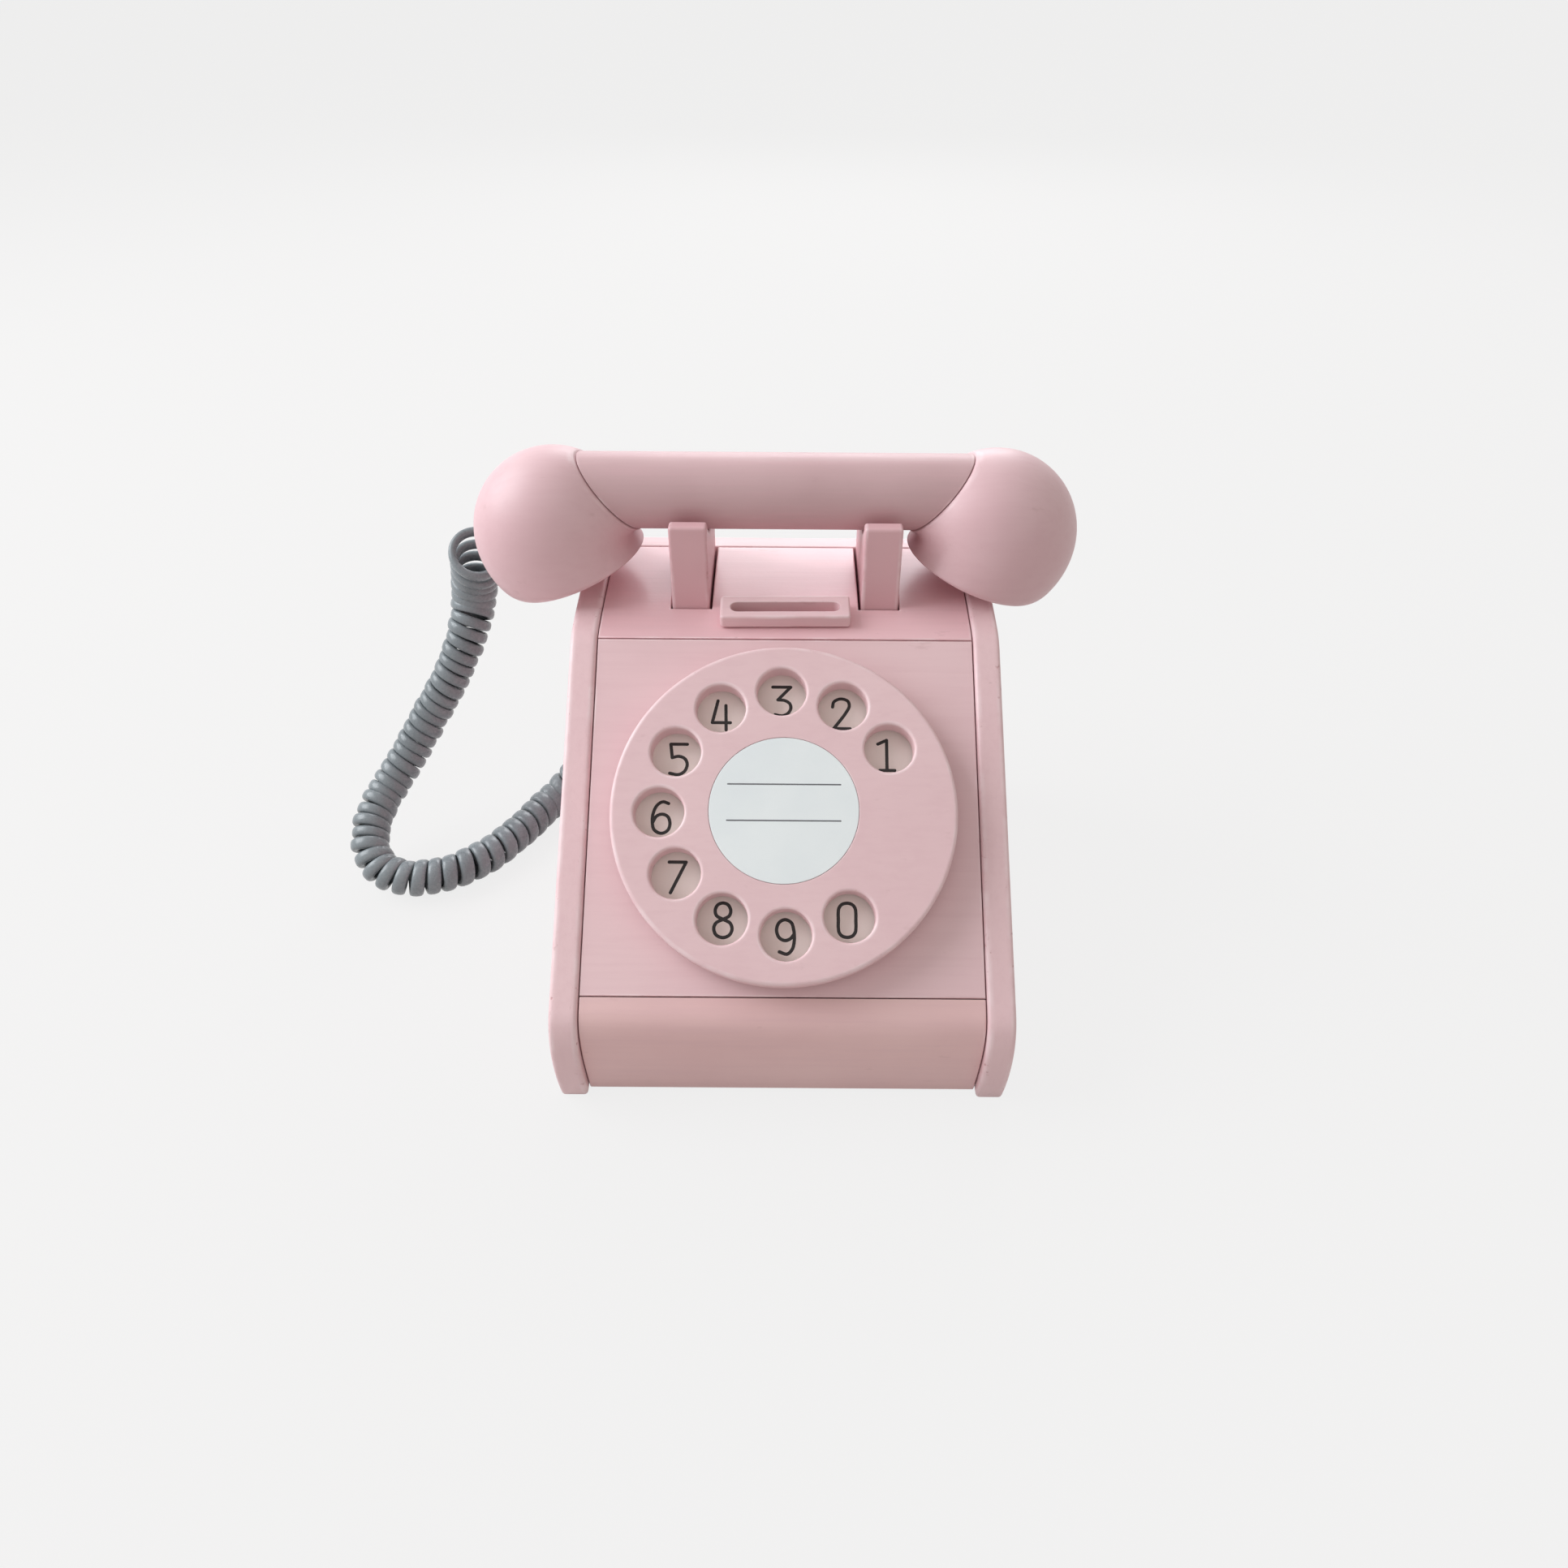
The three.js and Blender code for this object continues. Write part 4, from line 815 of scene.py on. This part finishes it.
HANDSET_SHIFT, MITRE_HALF, MITRE_LEAN = -3.2, 49.9, 0.7975
SOFT_EDGE, EDGE_STEPS = 0.4, 6                       # rounding at the mitres
BAR_PLAIN = 1.2                                      # mm from the mitre, where the bar is plain
CUP_PIVOT, EAR_TILT = 19.7, math.radians(20.5)
CUP_CENTRE = (19.7, 30.9, 31.5, 25.6)                # Bezier values from the mitre to the rim
CUP_HEIGHT = (14.9, 23.3, 28, 22.7)
CUP_WIDTH = (11.8, 23.5, 24, 22.7)
EDGE_SPAN, SWELL_START, RIM_START = 0.016, 0.03, 0.93       # parts of the way down the cup
RIM_ROUND, EAR_INSET = 1.6, 0.5


def handset_place(x, y, z):
    """Metres in the scene from mm round the middle of the bar."""
    return case_place(HANDSET_SHIFT + x, BAR_DEPTH + y, BAR_HEIGHT + z)


def turned_piece(name, grid, rim):
    """Mesh of a turned piece's rings, where rim says how far each ring lies on a rounded rim."""
    mesh = grid_mesh(name, grid)
    mark_rims(mesh, np.repeat(rim, grid.shape[1]))
    return facing_out(mesh, TURNED_SHARP)


# The handset's paint is darker than the case's, the bar's most: painted shade.
bar_paint_shaded = pink_paint("pink_paint_bar_shaded", (0.06, 1, 1), 0.25, (202, 167, 170), (210, 176, 179),
                       0.4, 0.4)
cup_paint_shaded = pink_paint("pink_paint_cups_shaded", (0.06, 1, 1), 0.25, (219, 181, 186), (226, 192, 196),
                       0.36, 0.4)
turn = np.linspace(0, 2 * math.pi, 96, endpoint=False)[None]
quarter = np.linspace(0, math.pi / 2, EDGE_STEPS)
from_end = np.append(SOFT_EDGE * (1 - np.cos(quarter)), BAR_PLAIN)[:, None]
drawn = np.append(SOFT_EDGE * (1 - np.sin(quarter)), 0)[:, None]
y, z = (BAR_RADIUS - drawn) * np.sin(turn), (BAR_RADIUS - drawn) * np.cos(turn)
end = MITRE_HALF - SEAM / 2 + MITRE_LEAN * z - from_end
half = handset_place(end, y, z)
grid = np.concatenate([handset_place(-end, y, z), half[::-1]])
rim = np.concatenate([np.ones(EDGE_STEPS), [0, 0], np.ones(EDGE_STEPS)])
add_piece("handset_bar", turned_piece("handset_bar", grid, rim), "handset", bar_paint_shaded,
          "pink_paint", "grip_bar")

mitre = math.atan2(1, MITRE_LEAN)
pivot_x = MITRE_HALF + SEAM / 2 - CUP_PIVOT * math.cos(mitre)
pivot_z = -CUP_PIVOT * math.sin(mitre)
t = np.concatenate([EDGE_SPAN * (1 - np.cos(quarter)), np.linspace(SWELL_START, RIM_START, 60),
                    RIM_START + (1 - RIM_START) * np.sin(np.linspace(0, math.pi / 2, 12)[1:]), [1]])
rim_part = ((t - RIM_START) / (1 - RIM_START)).clip(0, 1)
drawn = RIM_ROUND * (1 - np.sqrt(1 - rim_part ** 2))
drawn[:EDGE_STEPS] = SOFT_EDGE * (1 - np.sin(quarter))
drawn[-1] += EAR_INSET
rim = np.where(rim_part > 0.5, 0.8, 0)
rim[:EDGE_STEPS], rim[-1] = 0.9, 0
weights = np.stack([(1 - t) ** 3, 3 * t * (1 - t) ** 2, 3 * t ** 2 * (1 - t), t ** 3], 1)
tilt = (mitre + (-EAR_TILT - mitre) * t)[:, None]
reach = (weights @ CUP_CENTRE)[:, None] + (weights @ CUP_HEIGHT - drawn)[:, None] * np.cos(turn)
y = (drawn - weights @ CUP_WIDTH)[:, None] * np.sin(turn)
for side, sign in (("left", -1), ("right", 1)):
    # Each ring lies in a plane that turns about the pivot from the mitre to the tilted rim.
    grid = handset_place(sign * (pivot_x + reach * np.cos(tilt)), y,
                         pivot_z + reach * np.sin(tilt))
    name = {"left": "mouth_cup", "right": "ear_cup"}[side]
    add_piece(name, turned_piece(name, grid, rim), "handset", cup_paint_shaded, "pink_paint",
              f"cup_{side}")

# ---- cord grommets ------------------------------------------------------------------------
# Moulded grey rubber, pressed into the left cup and the left board: a lip, and a ribbed neck
# that keeps the cord from kinking.

rubber, shader, place = new_finish("moulded_grey_rubber")
bloom = place.noise(700, 3)
bloom.between(0.3, 0.7).blend(rgb(112, 116, 121), rgb(126, 130, 134)).into(shader, "Base Color")
(bloom * 0.15 + 0.42).into(shader, "Roughness")
bloom.bump(0.00005, 0.5).into(shader, "Normal")


def lathed(name, profile, seat, out, steps=48):
    """A closed profile of (radius, distance) turned once about the line out from a seat."""
    out = unit(np.array(out, float))
    side = unit(np.cross(out, [0, 0, 1] if abs(out[2]) < 0.9 else [1, 0, 0]))
    up = np.cross(out, side)
    angle = np.linspace(0, 2 * math.pi, steps, endpoint=False)[None, :, None]
    radius, away = np.array(profile).T[:, :, None, None]
    ring = np.array(seat) + away * out + radius * (np.cos(angle) * side + np.sin(angle) * up)
    ring = np.concatenate([ring, ring[:1]])
    mesh = grid_mesh(name, case_place(*np.moveaxis(ring, -1, 0)), capped=False)
    work = bmesh.new()
    work.from_mesh(mesh)
    bmesh.ops.remove_doubles(work, verts=work.verts, dist=1e-7)
    work.to_mesh(mesh)
    work.free()
    return facing_out(mesh, TURNED_SHARP)


BORE = 2.3
CUP_GLAND_OUT = (-0.66, 0.74, -0.14)
BOARD_GLAND_SEAT = (-INNER_WIDTH / 2 - SIDE_BOARD, GLAND_DEPTH, GLAND_HEIGHT)
cup_neck = [(BORE, -7.5), (3, -7.5), (3, 0.9), (4.2, 0.9), (4.5, 1.2), (4.5, 2.3), (4.3, 2.8),
            (3.9, 3), (3.8, 3.6), (4.1, 3.9), (4.1, 4.4), (3.7, 4.7), (3.6, 5.1), (3.9, 5.4),
            (3.85, 5.9), (3.5, 6.2), (3.4, 6.7), (3.2, 7), (2.5, 7), (BORE, 6.8)]
add_piece("cup_grommet", lathed("cup_grommet", cup_neck, LEAD[0], CUP_GLAND_OUT), "handset",
          rubber, "grey_rubber", "cord_gland_handset")
board_neck = [(BORE, -10), (4.6, -10), (4.6, 0.3), (5.7, 0.3), (6, 0.6), (6, 1.3), (5.7, 1.6),
              (4.6, 1.7), (4.3, 2.1), (4.3, 2.6), (3.9, 2.9), (3.6, 3.3), (3.3, 3.4), (2.5, 3.4),
              (BORE, 3.2)]
add_piece("board_grommet", lathed("board_grommet", board_neck, BOARD_GLAND_SEAT, (-1, 0, 0)),
          "case", rubber, "grey_rubber", "cord_gland_case")

# ---- table and light ----------------------------------------------------------------------
# A plain pale table in a white room, cooler to the left and warmer to the right. One wide window
# stands to the left, and a lower one behind the case, whose light glances off the crown.

TABLE_HALF = 6
BACKDROP = (0.887, 0.887, 0.887, 1)                  # even pale grey that the camera sees
TABLE_GLOW, GLOW_SHARE = 1.03, 0.9                   # of the backdrop in the table's look
WALLS_LEFT, WALLS_RIGHT, WALLS_STRENGTH = (1.04, 1.05, 1.06, 1), (0.9, 0.84, 0.765, 1), 0.565
DAYLIGHT = (0.965, 1, 1.035)
WINDOWS = [                                          # name, place and size in metres, watts
    ("window_left", (-1, 0.12, 0.8), 0.9, 13.5),
    ("window_behind", (0.1, 1.15, 0.7), 0.7, 6.5),
]

mesh = bpy.data.meshes.new("table")
mesh.from_pydata([(-TABLE_HALF, -TABLE_HALF, 0), (TABLE_HALF, -TABLE_HALF, 0),
                  (TABLE_HALF, TABLE_HALF, 0), (-TABLE_HALF, TABLE_HALF, 0)], [], [(0, 1, 2, 3)])
table = bpy.data.objects.new("table", mesh)
bpy.context.scene.collection.objects.link(table)
pale, shader, place = new_finish("pale_table")
place.noise(3, 2).blend((0.6, 0.56, 0.54, 1), (0.62, 0.58, 0.56, 1)).into(shader, "Base Color")
shader.inputs["Roughness"].default_value = 0.9
shader.inputs["Specular IOR Level"].default_value = 0.1
glow = place.node("Emission", {}, {"Color": BACKDROP, "Strength": TABLE_GLOW})


def seen_clear(wire):
    """1 for a ray of the camera, of a glossy reflection or through glass, and 0 for the rest."""
    return sum(wire.node("LightPath", output=f"Is {kind} Ray")
               for kind in ("Camera", "Glossy", "Transmission"))


# Only light that bounces meets the table's paint in full: the camera sees mostly the backdrop.
seen = seen_clear(place)
place.node("MixShader", {}, {0: seen * GLOW_SHARE, 1: Wire(pale.node_tree, shader.outputs[0]),
                             2: glow}).into(pale.node_tree.nodes["Material Output"], "Surface")
mesh.materials.append(pale)

world = bpy.data.worlds.new("room")
bpy.context.scene.world = world
world.use_nodes = True
toward = Wire(world.node_tree).node("TexCoord", output="Generated")
seen = seen_clear(toward)
walls = world.node_tree.nodes["Background"]
rightward = toward.node("SeparateXYZ", {}, {"Vector": toward})
rightward.between(-1, 1).blend(WALLS_LEFT, WALLS_RIGHT).into(walls, "Color")
walls.inputs["Strength"].default_value = WALLS_STRENGTH
far = seen.node("Background", {}, {"Color": BACKDROP, "Strength": 1.0})
seen.node("MixShader", {}, {0: seen, 1: Wire(world.node_tree, walls.outputs[0]), 2: far}).into(
    world.node_tree.nodes["World Output"], "Surface")

for name, where, size, watts in WINDOWS:
    lamp = bpy.data.lights.new(name, "AREA")
    lamp.size, lamp.energy, lamp.color = size, watts, DAYLIGHT
    window = bpy.data.objects.new(name, lamp)
    toward_case = -Vector(where)
    window.matrix_world = (Matrix.Translation(where)
                           @ toward_case.to_track_quat("-Z", "Y").to_matrix().to_4x4())
    bpy.context.scene.collection.objects.link(window)
